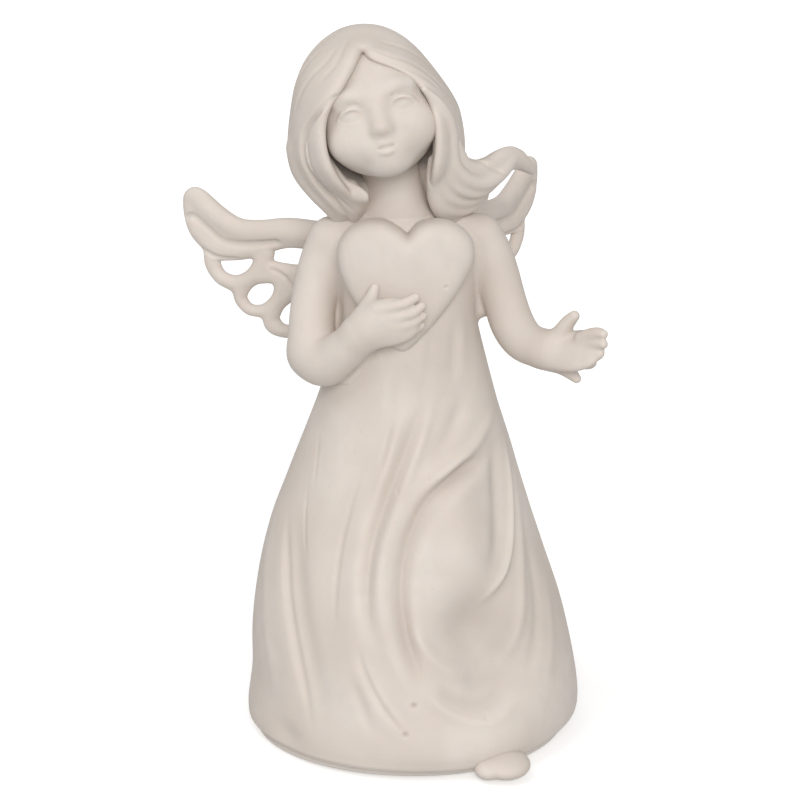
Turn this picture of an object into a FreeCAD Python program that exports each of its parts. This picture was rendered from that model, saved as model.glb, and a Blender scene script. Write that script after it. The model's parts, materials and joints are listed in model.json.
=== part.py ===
"""Resin angel figurine, cast in pieces and pinned and glued together.

Units are millimetres, +Z up. The origin is the centre of the felt pad's lower face, the
figure faces -Y, and +X is the figure's own left. Every piece is one or more closed solids,
written to parts/NAME.step.

The sculpt was laid out on working axes turned SCULPT_TURN about +Z from the part's axes,
because the shoulders and the gown's fall are drawn in that direction; every solid is
turned onto the part's axes by out() just before it is written.
"""

import FreeCAD
import Part
import math
import os

V = FreeCAD.Vector

# ---- driving dimensions (mm) -------------------------------------------------------
TOTAL_HEIGHT = 180.0          # crown of the hair above the table
SCULPT_TURN = -15.0           # degrees, working axes to part axes
FELT_THICKNESS = 1.0
FELT_INSET = 3.0              # felt edge inside the hem
FLOOR_Z = FELT_THICKNESS      # underside of the gown casting
WALL = 5.0                    # gown casting wall
FLOOR_WALL = 5.0              # gown casting floor
CAVITY_TOP = 96.0             # the casting is solid above this
POUR_HOLE_R = 9.0             # hole in the casting's floor
STOPPER_FLANGE_R = 11.5
STOPPER_FLANGE_T = 1.6
NECK_Z = 134.0                # seat of the head casting on the gown casting
NECK_R = 6.9
PIN_R = 0.9                   # steel locating pins
WING_THICKNESS = 4.2
WING_ROOT_Z = 118.0
WING_SWEEP = 35.0             # degrees back from the shoulder line
BODY_LEAN = 3.0               # degrees, shoulders lean to the figure's right
HEART_DEPTH_FRONT = -17.6

# gown sections: height, centre x, centre y, half width, half depth
GOWN = [
    (FLOOR_Z, -0.4, 0.0, 39.2, 38.0),
    (2.2, 0.0, 0.0, 41.0, 39.6),
    (4.5, 0.3, 0.0, 41.8, 40.4),
    (8.0, 0.7, 0.0, 41.9, 40.4),
    (16.0, 0.7, 0.0, 41.0, 39.4),
    (26.0, -0.2, 0.2, 40.0, 37.8),
    (36.0, -1.0, 0.4, 38.2, 35.4),
    (46.0, -1.9, 0.6, 35.6, 32.4),
    (56.0, -2.2, 0.8, 32.6, 29.2),
    (66.0, -1.8, 0.8, 29.1, 25.8),
    (76.0, -1.3, 0.8, 25.7, 22.4),
    (86.0, -1.0, 0.6, 22.6, 19.2),
    (96.0, -1.0, 0.4, 19.9, 16.8),
    (106.0, -1.2, 0.2, 18.0, 15.2),
    (114.0, -1.4, 0.2, 17.8, 14.6),
    (120.0, -1.6, 0.2, 19.0, 14.2),
    (125.0, -1.9, 0.2, 19.2, 13.0),
    (129.0, -2.3, 0.0, 16.4, 11.4),
    (132.0, -2.8, -0.2, 12.4, 9.8),
    (NECK_Z, -3.2, -0.4, 9.6, 8.6),
]

# folds of the gown: angle about +Z (degrees, working axes, -90 is the front), half width in
# degrees, height where it starts, height where it ends, depth (+ ridge, - valley) in mm
FOLDS = [
    (-62.0, 26.0, 26.0, 84.0, 3.4),      # knee under the cloth
    (-100.0, 9.0, 20.0, 84.0, -2.0),     # valley beside the knee
    (-113.0, 7.0, 16.0, 92.0, 1.3),
    (-122.0, 6.0, 14.0, 80.0, -1.3),
    (-140.0, 9.0, 8.0, 70.0, 1.0),
    (-163.0, 7.0, 4.0, 62.0, -1.8),      # deep fold on the right side
    (-178.0, 9.0, 4.0, 66.0, 1.0),
    (-22.0, 8.0, 8.0, 78.0, -1.4),
    (-8.0, 8.0, 8.0, 80.0, 1.2),
    (30.0, 10.0, 6.0, 76.0, -1.4),
    (52.0, 10.0, 6.0, 80.0, 1.2),
    (78.0, 9.0, 6.0, 84.0, -1.6),
    (102.0, 9.0, 6.0, 84.0, 1.2),
    (124.0, 9.0, 6.0, 80.0, -1.4),
    (148.0, 9.0, 6.0, 76.0, 1.0),
]
KNEE_HOLLOW = (-66.0, 20.0, 14.0, 34.0, -4.2)   # cloth falling in under the knee
HEM_SWEEP = (-64.0, 26.0, 3.4)                   # the hem runs further out over the foot: angle, half width, reach

N_RING = 48


# ---- helpers -----------------------------------------------------------------------
def smooth(t):
    t = max(0.0, min(1.0, t))
    return t * t * (3 - 2 * t)


def fold_amount(angle, z):
    total = 0.0
    for a0, half, z0, z1, depth in FOLDS + [KNEE_HOLLOW]:
        d = (angle - a0 + 180.0) % 360.0 - 180.0
        mid, span = (z0 + z1) / 2, (z1 - z0) / 2
        fall = smooth((span - abs(z - mid)) / (0.45 * span) + 0.0) if abs(z - mid) < span else 0.0
        total += depth * math.exp(-(d / half) ** 2) * fall
    return total


def hem_amount(angle, z):
    d = (angle - HEM_SWEEP[0] + 180.0) % 360.0 - 180.0
    return HEM_SWEEP[2] * math.exp(-(d / HEM_SWEEP[1]) ** 2) * (1.0 - smooth((z - 4.0) / 26.0))


def ring(z, cx, cy, rx, ry, inset=0.0, folds=True):
    """Closed B-spline wire round the gown at one height."""
    pts = []
    for i in range(N_RING):
        a = -180.0 + 360.0 * i / N_RING
        t = math.radians(a)
        r = 1.0 / math.sqrt((math.cos(t) / (rx - inset)) ** 2 + (math.sin(t) / (ry - inset)) ** 2)
        if folds:
            r += fold_amount(a, z) * smooth((z - 3.0) / 12.0) + hem_amount(a, z)
        pts.append(V(cx + r * math.cos(t), cy + r * math.sin(t), z))
    c = Part.BSplineCurve()
    c.interpolate(Points=pts, PeriodicFlag=True)
    return Part.Wire([c.toShape()])


def loft(wires, ruled=False):
    s = Part.makeLoft(wires, True, ruled)
    return s if s.isValid() else s.removeSplitter()


def frame_at(path, i):
    a = path[max(i - 1, 0)]
    b = path[min(i + 1, len(path) - 1)]
    t = (b - a).normalize()
    ref = V(0, 0, 1) if abs(t.z) < 0.85 else V(0, 1, 0)
    u = ref.cross(t).normalize()
    return t, u, t.cross(u).normalize()


def through(rows, k, f, j):
    """Catmull-Rom value between rows k and k + 1."""
    a, b = rows[max(k - 1, 0)][j], rows[k][j]
    c, d = rows[k + 1][j], rows[min(k + 2, len(rows) - 1)][j]
    return 0.5 * (2 * b + (c - a) * f + (2 * a - 5 * b + 4 * c - d) * f * f + (3 * b - a - 3 * c + d) * f ** 3)


def dense(points, radii, per=3):
    """Points and radii along one smooth curve through the given points."""
    vs = [V(*p) for p in points]
    c = Part.BSplineCurve()
    c.interpolate(Points=vs)
    params = [c.parameter(p) for p in vs]
    out, rad = [], []
    for k in range(len(vs) - 1):
        for j in range(per):
            f = j / per
            out.append(c.value(params[k] + (params[k + 1] - params[k]) * f))
            rad.append([through(radii, k, f, 0), through(radii, k, f, 1)])
    out.append(vs[-1])
    rad.append(list(radii[-1]))
    return out, rad


def oval(centre, u, w, ru, rw, n=16):
    pts = [centre + u * (ru * math.cos(2 * math.pi * k / n)) + w * (rw * math.sin(2 * math.pi * k / n)) for k in range(n)]
    c = Part.BSplineCurve()
    c.interpolate(Points=pts, PeriodicFlag=True)
    return Part.Wire([c.toShape()])


def tube(points, radii, per=3, cap=0.9, u_fixed=None):
    """Round or oval limb along a smooth path, with rounded ends. radii are numbers or (side, thickness) pairs."""
    radii = [(r, r) if not isinstance(r, tuple) else r for r in radii]
    path, rad = dense(points, radii, per)
    frames = []
    for i in range(len(path)):
        t, u, w = frame_at(path, i)
        if u_fixed is not None:
            u = (u_fixed - t * u_fixed.dot(t)).normalize()
            w = t.cross(u).normalize()
        elif frames:
            pu = frames[-1][1]
            u = (pu - t * pu.dot(t)).normalize()
            w = t.cross(u).normalize()
        frames.append((t, u, w))
    wires = []
    t, u, w = frames[0]
    for s in (0.98, 0.75, 0.4):
        k = math.sqrt(1 - s * s)
        wires.append(oval(path[0] - t * (min(rad[0]) * s * cap), u, w, rad[0][0] * max(k, 0.2), rad[0][1] * max(k, 0.2)))
    for p, r, (t, u, w) in zip(path, rad, frames):
        wires.append(oval(p, u, w, r[0], r[1]))
    t, u, w = frames[-1]
    for s in (0.4, 0.75, 0.98):
        k = math.sqrt(1 - s * s)
        wires.append(oval(path[-1] + t * (min(rad[-1]) * s * cap), u, w, rad[-1][0] * max(k, 0.2), rad[-1][1] * max(k, 0.2)))
    return loft(wires)


def fuse(shapes):
    s = shapes[0]
    for o in shapes[1:]:
        s = s.fuse(o)
    merged = s.removeSplitter()
    return merged if merged.isValid() else s


def biggest(shape):
    return sorted(shape.Solids, key=lambda s: -s.Volume)[0]


def blob(centre, rx, ry, rz, rot=None):
    """Ellipsoid lofted from oval sections, rot is a FreeCAD.Rotation."""
    rot = rot or FreeCAD.Rotation()
    wires = []
    for k in range(13):
        a = -math.pi / 2 * 0.97 + math.pi * 0.97 * k / 12
        c = V(*centre) + rot.multVec(V(0, 0, rz * math.sin(a)))
        wires.append(oval(c, rot.multVec(V(1, 0, 0)), rot.multVec(V(0, 1, 0)), rx * math.cos(a), ry * math.cos(a)))
    return loft(wires)


def pin(start, end, r=PIN_R):
    a, b = V(*start), V(*end)
    d = b - a
    return Part.makeCylinder(r, d.Length, a, d)


os.makedirs("parts", exist_ok=True)
written = []


def out(name, shape):
    s = shape.copy()
    s.rotate(V(0, 0, 0), V(0, 0, 1), SCULPT_TURN)
    s.exportStep("parts/%s.step" % name)
    b = s.BoundBox
    written.append(name)
    print("%-14s solids %d valid %s vol %9.1f  x %.1f..%.1f y %.1f..%.1f z %.1f..%.1f" % (name, len(s.Solids), s.isValid(), s.Volume, b.XMin, b.XMax, b.YMin, b.YMax, b.ZMin, b.ZMax), flush=True)


# ---- gown casting (gown, chest and shoulders) -----------------------------------------
gown = loft([ring(*row) for row in GOWN])

cavity_rows = [(FLOOR_Z + FLOOR_WALL, 0.3, 0.0, 34.5, 33.0), (10.0, 0.7, 0.0, 35.6, 34.0), (18.0, 0.6, 0.0, 35.2, 33.4), (30.0, -0.4, 0.2, 33.2, 30.6),
               (44.0, -1.7, 0.5, 29.6, 26.4), (58.0, -2.1, 0.8, 25.4, 22.0), (72.0, -1.5, 0.8, 20.6, 17.4), (84.0, -1.0, 0.6, 16.6, 13.4),
               (92.0, -1.0, 0.4, 13.4, 10.6), (CAVITY_TOP, -1.0, 0.3, 9.0, 7.0)]
cavity = loft([ring(*row, folds=False) for row in cavity_rows])
pour_hole = Part.makeCylinder(POUR_HOLE_R, FLOOR_WALL + 4.0, V(0, 0, FLOOR_Z - 1.0))
flange_seat = Part.makeCylinder(STOPPER_FLANGE_R, STOPPER_FLANGE_T, V(0, 0, FLOOR_Z))

# ---- felt pad and stopper -------------------------------------------------------------
felt_ring = ring(0.0, -0.4, 0.0, GOWN[0][3] - FELT_INSET, GOWN[0][4] - FELT_INSET, folds=False)
felt = Part.Face(felt_ring).extrude(V(0, 0, FELT_THICKNESS))
stopper = Part.makeCylinder(STOPPER_FLANGE_R, STOPPER_FLANGE_T, V(0, 0, FLOOR_Z)).fuse(
    Part.makeCylinder(POUR_HOLE_R, FLOOR_WALL + 3.0 - STOPPER_FLANGE_T, V(0, 0, FLOOR_Z + STOPPER_FLANGE_T)))
stopper = stopper.cut(Part.makeCylinder(POUR_HOLE_R - 2.0, FLOOR_WALL + 3.0 - 2 * STOPPER_FLANGE_T, V(0, 0, FLOOR_Z + 2 * STOPPER_FLANGE_T))).removeSplitter()
lip = Part.makeTorus(POUR_HOLE_R - 0.15, 0.9, V(0, 0, FLOOR_Z + FLOOR_WALL + 1.6))
stopper = stopper.fuse(lip).removeSplitter()

# ---- arms ------------------------------------------------------------------------------
right_upper = tube([(-20.4, 0.6, 125.0), (-23.0, -1.4, 117.0), (-24.0, -4.2, 108.6), (-23.4, -7.4, 103.4)], [6.0, 5.3, 5.2, 5.3])
right_fore = tube([(-23.6, -7.2, 103.2), (-18.3, -13.0, 102.8), (-13.3, -16.8, 107.2), (-9.6, -19.0, 110.4)], [5.4, 5.2, 4.4, 3.9])
right_palm = tube([(-10.6, -18.9, 109.8), (-6.6, -20.6, 111.4), (-3.0, -21.3, 112.2)], [(3.4, 4.4), (2.6, 5.8), (2.2, 6.2)], u_fixed=V(0, -1, 0))
right_fingers = [tube([a, b, c], [1.5, 1.4, 1.1], per=2) for a, b, c in [
    ((-5.0, -21.6, 115.0), (-1.4, -22.0, 117.0), (1.6, -21.6, 118.6)),
    ((-4.2, -21.8, 112.8), (0.2, -22.4, 114.6), (4.0, -21.6, 116.2)),
    ((-4.0, -21.8, 110.4), (0.6, -22.2, 111.8), (4.4, -21.4, 113.2)),
    ((-4.6, -21.2, 108.0), (-0.6, -21.6, 108.8), (3.2, -21.0, 110.0))]]
right_thumb = tube([(-10.0, -20.0, 112.4), (-9.4, -20.6, 116.6), (-8.7, -20.2, 120.4)], [2.0, 1.6, 1.2], per=2)
right_arm = fuse([right_upper, right_fore, right_palm] + right_fingers + [right_thumb])

left_upper = tube([(19.0, 1.0, 124.8), (21.2, 0.5, 117.6), (23.0, -0.8, 110.8), (25.4, -3.2, 105.2)], [6.0, 5.3, 5.3, 5.3])
left_fore = tube([(25.2, -3.0, 105.4), (29.4, -7.6, 102.6), (34.0, -12.0, 102.2)], [5.4, 5.0, 4.4])
left_palm = tube([(33.0, -11.4, 102.2), (37.6, -15.4, 103.0), (41.4, -18.8, 104.2)], [(3.6, 4.2), (2.8, 5.0), (2.4, 4.8)], u_fixed=V(0.1, -0.75, 0.66))
left_fingers = [tube([a, b, c], [1.7, 1.6, 1.2], per=2) for a, b, c in [
    ((39.6, -17.0, 107.2), (42.6, -20.0, 108.2), (45.4, -23.0, 108.8)),
    ((40.2, -17.6, 104.4), (43.0, -20.8, 105.4), (45.2, -23.6, 106.2)),
    ((39.6, -17.2, 101.6), (42.0, -20.0, 102.0), (43.6, -22.4, 102.6)),
    ((36.4, -13.4, 100.0), (38.4, -15.2, 97.9), (39.8, -16.6, 96.2))]]
left_thumb = tube([(34.8, -12.8, 105.2), (36.8, -14.2, 108.4), (39.2, -15.6, 111.4)], [2.1, 1.7, 1.25], per=2)
left_arm = fuse([left_upper, left_fore, left_palm])
for digit in left_fingers + [left_thumb]:
    left_arm = left_arm.fuse(digit)

# ---- heart plaque ------------------------------------------------------------------------
heart_pts = [(-0.9, 131.2), (-3.0, 133.2), (-6.6, 135.4), (-11.0, 135.4), (-15.2, 133.0), (-17.6, 129.0), (-17.8, 124.6), (-16.2, 119.6), (-13.2, 113.9),
             (-8.6, 107.8), (-2.0, 103.2), (4.2, 108.4), (9.8, 115.4), (13.8, 121.8), (15.3, 126.4), (14.2, 130.9), (10.9, 134.0), (6.6, 135.2), (2.2, 133.8)]
hc = Part.BSplineCurve()
hc.interpolate(Points=[V(x, -8.0, z) for x, z in heart_pts] + [V(heart_pts[0][0], -8.0, heart_pts[0][1])])
heart = Part.Face(Part.Wire([hc.toShape()])).extrude(V(0, HEART_DEPTH_FRONT + 8.0, 0))
dome = Part.makeSphere(46.0, V(-1.2, HEART_DEPTH_FRONT + 46.0, 119.5))
heart = heart.common(dome)
try:
    front = [e for e in heart.Edges if e.BoundBox.YMax < -11.0]
    h2 = heart.makeFillet(1.2, front)
    if h2.isValid() and h2.Volume > 0:
        heart = h2
except Exception as why:
    print("heart edge left square:", why)

# ---- foot -------------------------------------------------------------------------------
foot = fuse([blob((22.4, -36.4, 4.0), 6.2, 6.4, 3.0), blob((18.4, -40.2, 3.7), 2.5, 3.0, 2.5), blob((22.8, -40.8, 3.5), 2.2, 2.7, 2.3), blob((26.6, -39.2, 3.3), 2.1, 2.6, 2.1)])

# ---- head -------------------------------------------------------------------------------
HEAD_C = V(-8.2, -3.4, 159.4)
HEAD_ROT = FreeCAD.Rotation(V(0, 1, 0), -15.0).multiply(FreeCAD.Rotation(V(1, 0, 0), -14.0)).multiply(FreeCAD.Rotation(V(0, 0, 1), 4.0))
# sections down the head's own axis: height, centre y, half width, half depth
HEAD = [(-14.9, -7.6, 2.0, 1.8), (-14.4, -7.2, 5.0, 4.2), (-13.0, -6.2, 8.2, 7.6), (-10.2, -4.2, 11.8, 11.8), (-6.8, -2.4, 14.0, 14.4), (-2.4, -1.2, 15.2, 16.0),
        (3.0, 0.0, 15.8, 17.0), (8.6, 0.8, 15.0, 16.4), (13.2, 1.2, 12.2, 13.6), (16.0, 1.4, 8.2, 9.2), (17.4, 1.4, 3.4, 4.0)]
skull = loft([oval(HEAD_C + HEAD_ROT.multVec(V(0, cy, h)), HEAD_ROT.multVec(V(1, 0, 0)), HEAD_ROT.multVec(V(0, 1, 0)), rx, ry, 24) for h, cy, rx, ry in HEAD])
nose = blob(HEAD_C + HEAD_ROT.multVec(V(0, -16.6, -4.0)), 1.6, 1.8, 1.7, HEAD_ROT)
neck = loft([oval(V(-3.2, -0.4, NECK_Z), V(1, 0, 0), V(0, 1, 0), 8.0, 7.6), oval(V(-3.4, -0.4, 136.6), V(1, 0, 0), V(0, 1, 0), NECK_R, NECK_R),
             oval(V(-4.4, -0.2, 142.0), V(1, 0, 0), V(0, 1, 0), 6.6, 6.8), oval(V(-5.8, -0.4, 148.0), V(1, 0, 0), V(0, 1, 0), 7.0, 7.2)])
head = fuse([skull, neck, nose])

# ---- hair -------------------------------------------------------------------------------
HAIR = [(131.0, -4.6, 8.8, 12.6, 7.4), (134.0, -6.2, 5.6, 16.4, 11.6), (138.0, -7.0, 4.0, 18.8, 14.8), (143.0, -7.2, 2.6, 21.0, 17.6), (149.0, -7.0, 1.8, 21.9, 19.4),
        (156.0, -7.2, 1.4, 21.4, 20.2), (163.0, -7.8, 1.2, 19.6, 19.2), (169.0, -8.6, 1.0, 17.0, 16.8), (174.0, -9.2, 1.0, 13.6, 13.4), (177.6, -9.5, 1.0, 9.2, 9.2), (TOTAL_HEIGHT, -9.6, 1.0, 2.6, 2.6)]
hair_mass = loft([oval(V(cx, cy, z), V(1, 0, 0), V(0, 1, 0), rx, ry, 24) for z, cx, cy, rx, ry in HAIR])
# opening over the face: an arch drawn on the head's own face plane and pushed forward
arch = [(0.0, 14.6), (-4.6, 11.2), (-9.0, 6.0), (-12.6, 0.0), (-13.8, -7.0), (-12.4, -14.0), (-8.0, -24.0), (2.0, -27.0), (10.0, -24.0), (12.8, -14.0), (13.8, -7.0), (13.0, 0.0), (9.6, 5.4), (4.6, 10.6)]
pts = [HEAD_C + HEAD_ROT.multVec(V(x, -5.0, z)) for x, z in arch]
window = Part.Face(Part.Wire(Part.makePolygon(pts + [pts[0]]).Edges)).extrude(HEAD_ROT.multVec(V(0, -30.0, 0)))
lock = tube([(4.6, 2.0, 150.0), (7.4, -2.2, 144.4), (11.6, -3.4, 141.2), (16.6, -0.4, 141.2), (21.2, 4.4, 143.4), (25.2, 9.6, 144.6), (28.4, 13.6, 142.6), (30.0, 16.4, 140.2)],
            [(3.6, 6.0), (3.4, 6.2), (3.2, 5.6), (3.0, 4.6), (2.8, 3.8), (2.6, 3.2), (2.0, 2.4), (1.3, 1.5)], u_fixed=V(0.3, -1, 0))
left_front = tube([(6.0, -11.0, 158.0), (9.4, -10.6, 151.0), (9.2, -9.6, 144.0), (7.0, -8.6, 138.6), (6.6, -7.4, 135.6)], [(2.6, 4.0), (2.8, 4.2), (2.8, 4.2), (2.4, 3.6), (1.6, 2.4)], u_fixed=V(0, -1, 0))
hair = fuse([hair_mass.cut(window), lock, left_front])

# ---- wings ------------------------------------------------------------------------------
WING_OUTLINE = [(2.0, 8.2), (10.0, 9.4), (19.6, 9.6), (29.1, 10.2), (36.7, 9.3), (42.7, 9.4), (47.5, 12.2), (52.1, 16.2), (55.4, 17.1), (57.9, 15.1), (58.1, 11.7), (57.3, 7.8), (55.7, 4.2), (53.0, 1.0),
                (52.2, -3.2), (49.3, -7.3), (45.4, -9.6), (43.8, -12.8), (40.9, -15.3), (37.2, -16.2), (35.9, -18.8), (33.5, -20.5), (29.4, -21.0), (25.6, -20.2), (22.4, -20.8), (17.8, -21.8), (12.4, -20.6), (7.0, -16.4), (2.0, -11.0)]
WING_HOLES = [
    [(47.6, -2.2), (43.9, -1.7), (39.9, -1.3), (40.9, -3.4), (43.5, -5.1), (46.0, -4.2)],
    [(33.0, 1.2), (29.1, 2.2), (23.0, 2.0), (18.6, 1.4), (22.0, -0.6), (28.0, -1.6), (32.6, -0.9)],
    [(40.3, -11.0), (39.1, -8.9), (36.9, -7.7), (33.4, -7.5), (34.6, -10.5), (37.3, -12.6), (39.7, -12.6)],
    [(31.3, -16.0), (30.3, -14.0), (27.6, -11.6), (24.6, -10.6), (25.2, -14.6), (27.4, -17.2), (30.0, -17.4)],
    [(21.4, -14.6), (20.2, -10.6), (16.6, -8.6), (15.4, -12.0), (17.0, -15.8), (19.6, -17.0)],
]


def wing(side):
    """side -1 is the figure's right wing, +1 its left. Drawn on part axes, turned back onto working axes at the end."""
    sweep = math.radians(WING_SWEEP)
    along = V(side * math.cos(sweep), math.sin(sweep), 0)
    lean = side * math.tan(math.radians(BODY_LEAN)) * math.cos(sweep)
    base = V(side * 0.2, 10.9, WING_ROOT_Z)
    normal = V(side * math.sin(sweep), -math.cos(sweep), 0)

    def at(s, h):
        return base + along * s + V(0, 0, h + lean * s) - normal * (WING_THICKNESS / 2)

    def closed(pts):
        c = Part.BSplineCurve()
        c.interpolate(Points=[at(*p) for p in pts], PeriodicFlag=True)
        return Part.Wire([c.toShape()])
    s = Part.Face(closed(WING_OUTLINE)).extrude(normal * WING_THICKNESS)
    for h in WING_HOLES:
        s = s.cut(Part.Face(closed(h)).extrude(normal * WING_THICKNESS))
    try:
        rims = [e for e in s.Edges if e.Length > 6.0]
        r = s.makeFillet(1.1, rims)
        if r.isValid() and r.Volume > 0.5 * s.Volume:
            s = r
    except Exception as why:
        print("wing rim left square:", why)
    s.rotate(V(0, 0, 0), V(0, 0, 1), -SCULPT_TURN)
    return s, base, along, lean


right_wing, rb, ra, rl = wing(-1)
left_wing, lb, la, ll = wing(1)

# ---- locating pins ----------------------------------------------------------------------
back = FreeCAD.Rotation(V(0, 0, 1), -SCULPT_TURN)
wing_pins = []
for base, along, lean in ((rb, ra, rl), (lb, la, ll)):
    for h in (5.0, -5.0):
        wing_pins.append(pin(back.multVec(base + along * 0.4 + V(0, 0, h)), back.multVec(base + along * 12.0 + V(0, 0, h + lean * 12.0))))
arm_pins = [pin((-10.0, 0.6, 121.0), (-21.6, -0.6, 119.6), 1.2), pin((8.0, 0.6, 120.6), (20.4, 0.6, 119.6), 1.2)]
neck_pin = pin((-3.2, -0.4, NECK_Z - 9.0), (-3.9, -0.4, NECK_Z + 9.0), 1.5)

# ---- fits: each later piece is trimmed to the one it is glued to ---------------------------
body = gown.cut(cavity).cut(pour_hole).cut(flange_seat)
body = body.cut(foot)
for p in wing_pins + arm_pins + [neck_pin]:
    body = body.cut(p)
body = biggest(body)
right_arm = biggest(right_arm.cut(gown).cut(arm_pins[0]))
left_arm = biggest(left_arm.cut(gown).cut(arm_pins[1]))
heart = biggest(heart.cut(gown))
right_arm = biggest(right_arm.cut(heart))
head = biggest(head.cut(neck_pin))
right_wing = biggest(right_wing.cut(gown).cut(wing_pins[0]).cut(wing_pins[1]))
left_wing = biggest(left_wing.cut(gown).cut(wing_pins[2]).cut(wing_pins[3]))
hair = hair.cut(head).cut(gown).cut(right_arm).cut(left_arm).cut(right_wing).cut(left_wing).cut(heart)
hair = biggest(hair)

out("dress_body", body)
out("head", head)
out("hair", hair)
out("heart", heart)
out("right_arm", right_arm)
out("left_arm", left_arm)
out("right_wing", right_wing)
out("left_wing", left_wing)
out("left_foot", foot)
out("base_stopper", stopper)
out("felt_pad", felt)
out("wing_pins", Part.makeCompound(wing_pins))
out("arm_pins", Part.makeCompound(arm_pins))
out("neck_pin", neck_pin)
print("nodes:", len(written))
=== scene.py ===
import bpy
import json
import math
import time
import numpy as np
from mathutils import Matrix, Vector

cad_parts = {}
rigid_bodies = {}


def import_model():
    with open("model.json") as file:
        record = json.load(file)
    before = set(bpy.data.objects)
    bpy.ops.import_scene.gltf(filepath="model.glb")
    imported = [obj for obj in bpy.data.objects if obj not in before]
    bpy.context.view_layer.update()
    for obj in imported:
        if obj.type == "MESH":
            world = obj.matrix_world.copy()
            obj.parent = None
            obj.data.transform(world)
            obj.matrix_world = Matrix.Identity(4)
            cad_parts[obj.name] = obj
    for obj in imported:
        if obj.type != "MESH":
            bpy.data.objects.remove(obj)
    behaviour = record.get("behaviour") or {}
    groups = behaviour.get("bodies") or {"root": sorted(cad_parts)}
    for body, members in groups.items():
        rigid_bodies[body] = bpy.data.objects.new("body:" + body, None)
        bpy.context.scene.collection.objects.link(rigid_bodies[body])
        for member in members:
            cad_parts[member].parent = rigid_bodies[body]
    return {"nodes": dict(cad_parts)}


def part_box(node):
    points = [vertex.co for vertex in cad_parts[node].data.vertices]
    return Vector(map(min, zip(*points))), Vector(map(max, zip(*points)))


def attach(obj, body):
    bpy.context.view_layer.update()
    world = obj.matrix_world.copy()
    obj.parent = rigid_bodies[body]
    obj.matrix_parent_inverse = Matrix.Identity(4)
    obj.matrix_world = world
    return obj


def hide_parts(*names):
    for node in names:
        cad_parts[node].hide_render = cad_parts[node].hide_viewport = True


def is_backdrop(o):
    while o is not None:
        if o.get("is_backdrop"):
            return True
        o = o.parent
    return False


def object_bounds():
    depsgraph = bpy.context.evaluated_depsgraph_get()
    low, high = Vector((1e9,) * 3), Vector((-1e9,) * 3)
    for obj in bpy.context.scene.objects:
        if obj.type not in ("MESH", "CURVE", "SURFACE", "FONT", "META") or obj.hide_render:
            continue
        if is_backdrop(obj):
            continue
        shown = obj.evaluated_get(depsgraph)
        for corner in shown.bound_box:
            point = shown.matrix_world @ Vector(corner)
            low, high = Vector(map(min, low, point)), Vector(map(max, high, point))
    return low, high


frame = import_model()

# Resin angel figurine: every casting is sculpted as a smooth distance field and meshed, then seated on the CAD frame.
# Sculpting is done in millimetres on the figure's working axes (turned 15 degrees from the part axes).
import openvdb
from mathutils import Matrix, Vector

for stray in [o for o in bpy.data.objects if o.name in ("Cube", "Light", "Camera")]:
    bpy.data.objects.remove(stray)
T_START = time.time()
CAD_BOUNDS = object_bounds()
CAD_LO, CAD_HI = [list(v) for v in CAD_BOUNDS]
TURN = math.radians(-15.0)
SCALE = (CAD_HI[2] - CAD_LO[2]) / 180.0          # metres per sculpt millimetre, from the CAD height
BASE = np.array([0.0, 0.0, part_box("felt_pad")[0][2]])
CT, ST = math.cos(TURN), math.sin(TURN)
RNG = np.random.default_rng(20)


# ---- small numpy sculpting kit --------------------------------------------------------
def smin(a, b, k):
    h = np.maximum(k - np.abs(a - b), 0.0) / k
    return np.minimum(a, b) - h * h * (k * 0.25)


def smax(a, b, k):
    h = np.maximum(k - np.abs(a - b), 0.0) / k
    return np.maximum(a, b) + h * h * (k * 0.25)


def step(t):
    t = np.clip(t, 0.0, 1.0)
    return t * t * (3 - 2 * t)


def spline(rows, per=6):
    """Catmull-Rom through rows of numbers."""
    p = np.array(rows, float)
    q = np.vstack([2 * p[0] - p[1], p, 2 * p[-1] - p[-2]])
    f = (np.arange(per) / per)[:, None]
    out = []
    for k in range(1, len(q) - 2):
        a, b, c, d = q[k - 1], q[k], q[k + 1], q[k + 2]
        out.append(0.5 * (2 * b + (c - a) * f + (2 * a - 5 * b + 4 * c - d) * f ** 2 + (3 * b - a - 3 * c + d) * f ** 3))
    return np.vstack(out + [p[-1:]])


def table(z, rows, col):
    """Smooth value of one column of a table whose first column is the key."""
    d = spline(rows, 8)
    return np.interp(z, d[:, 0], d[:, col])


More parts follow.
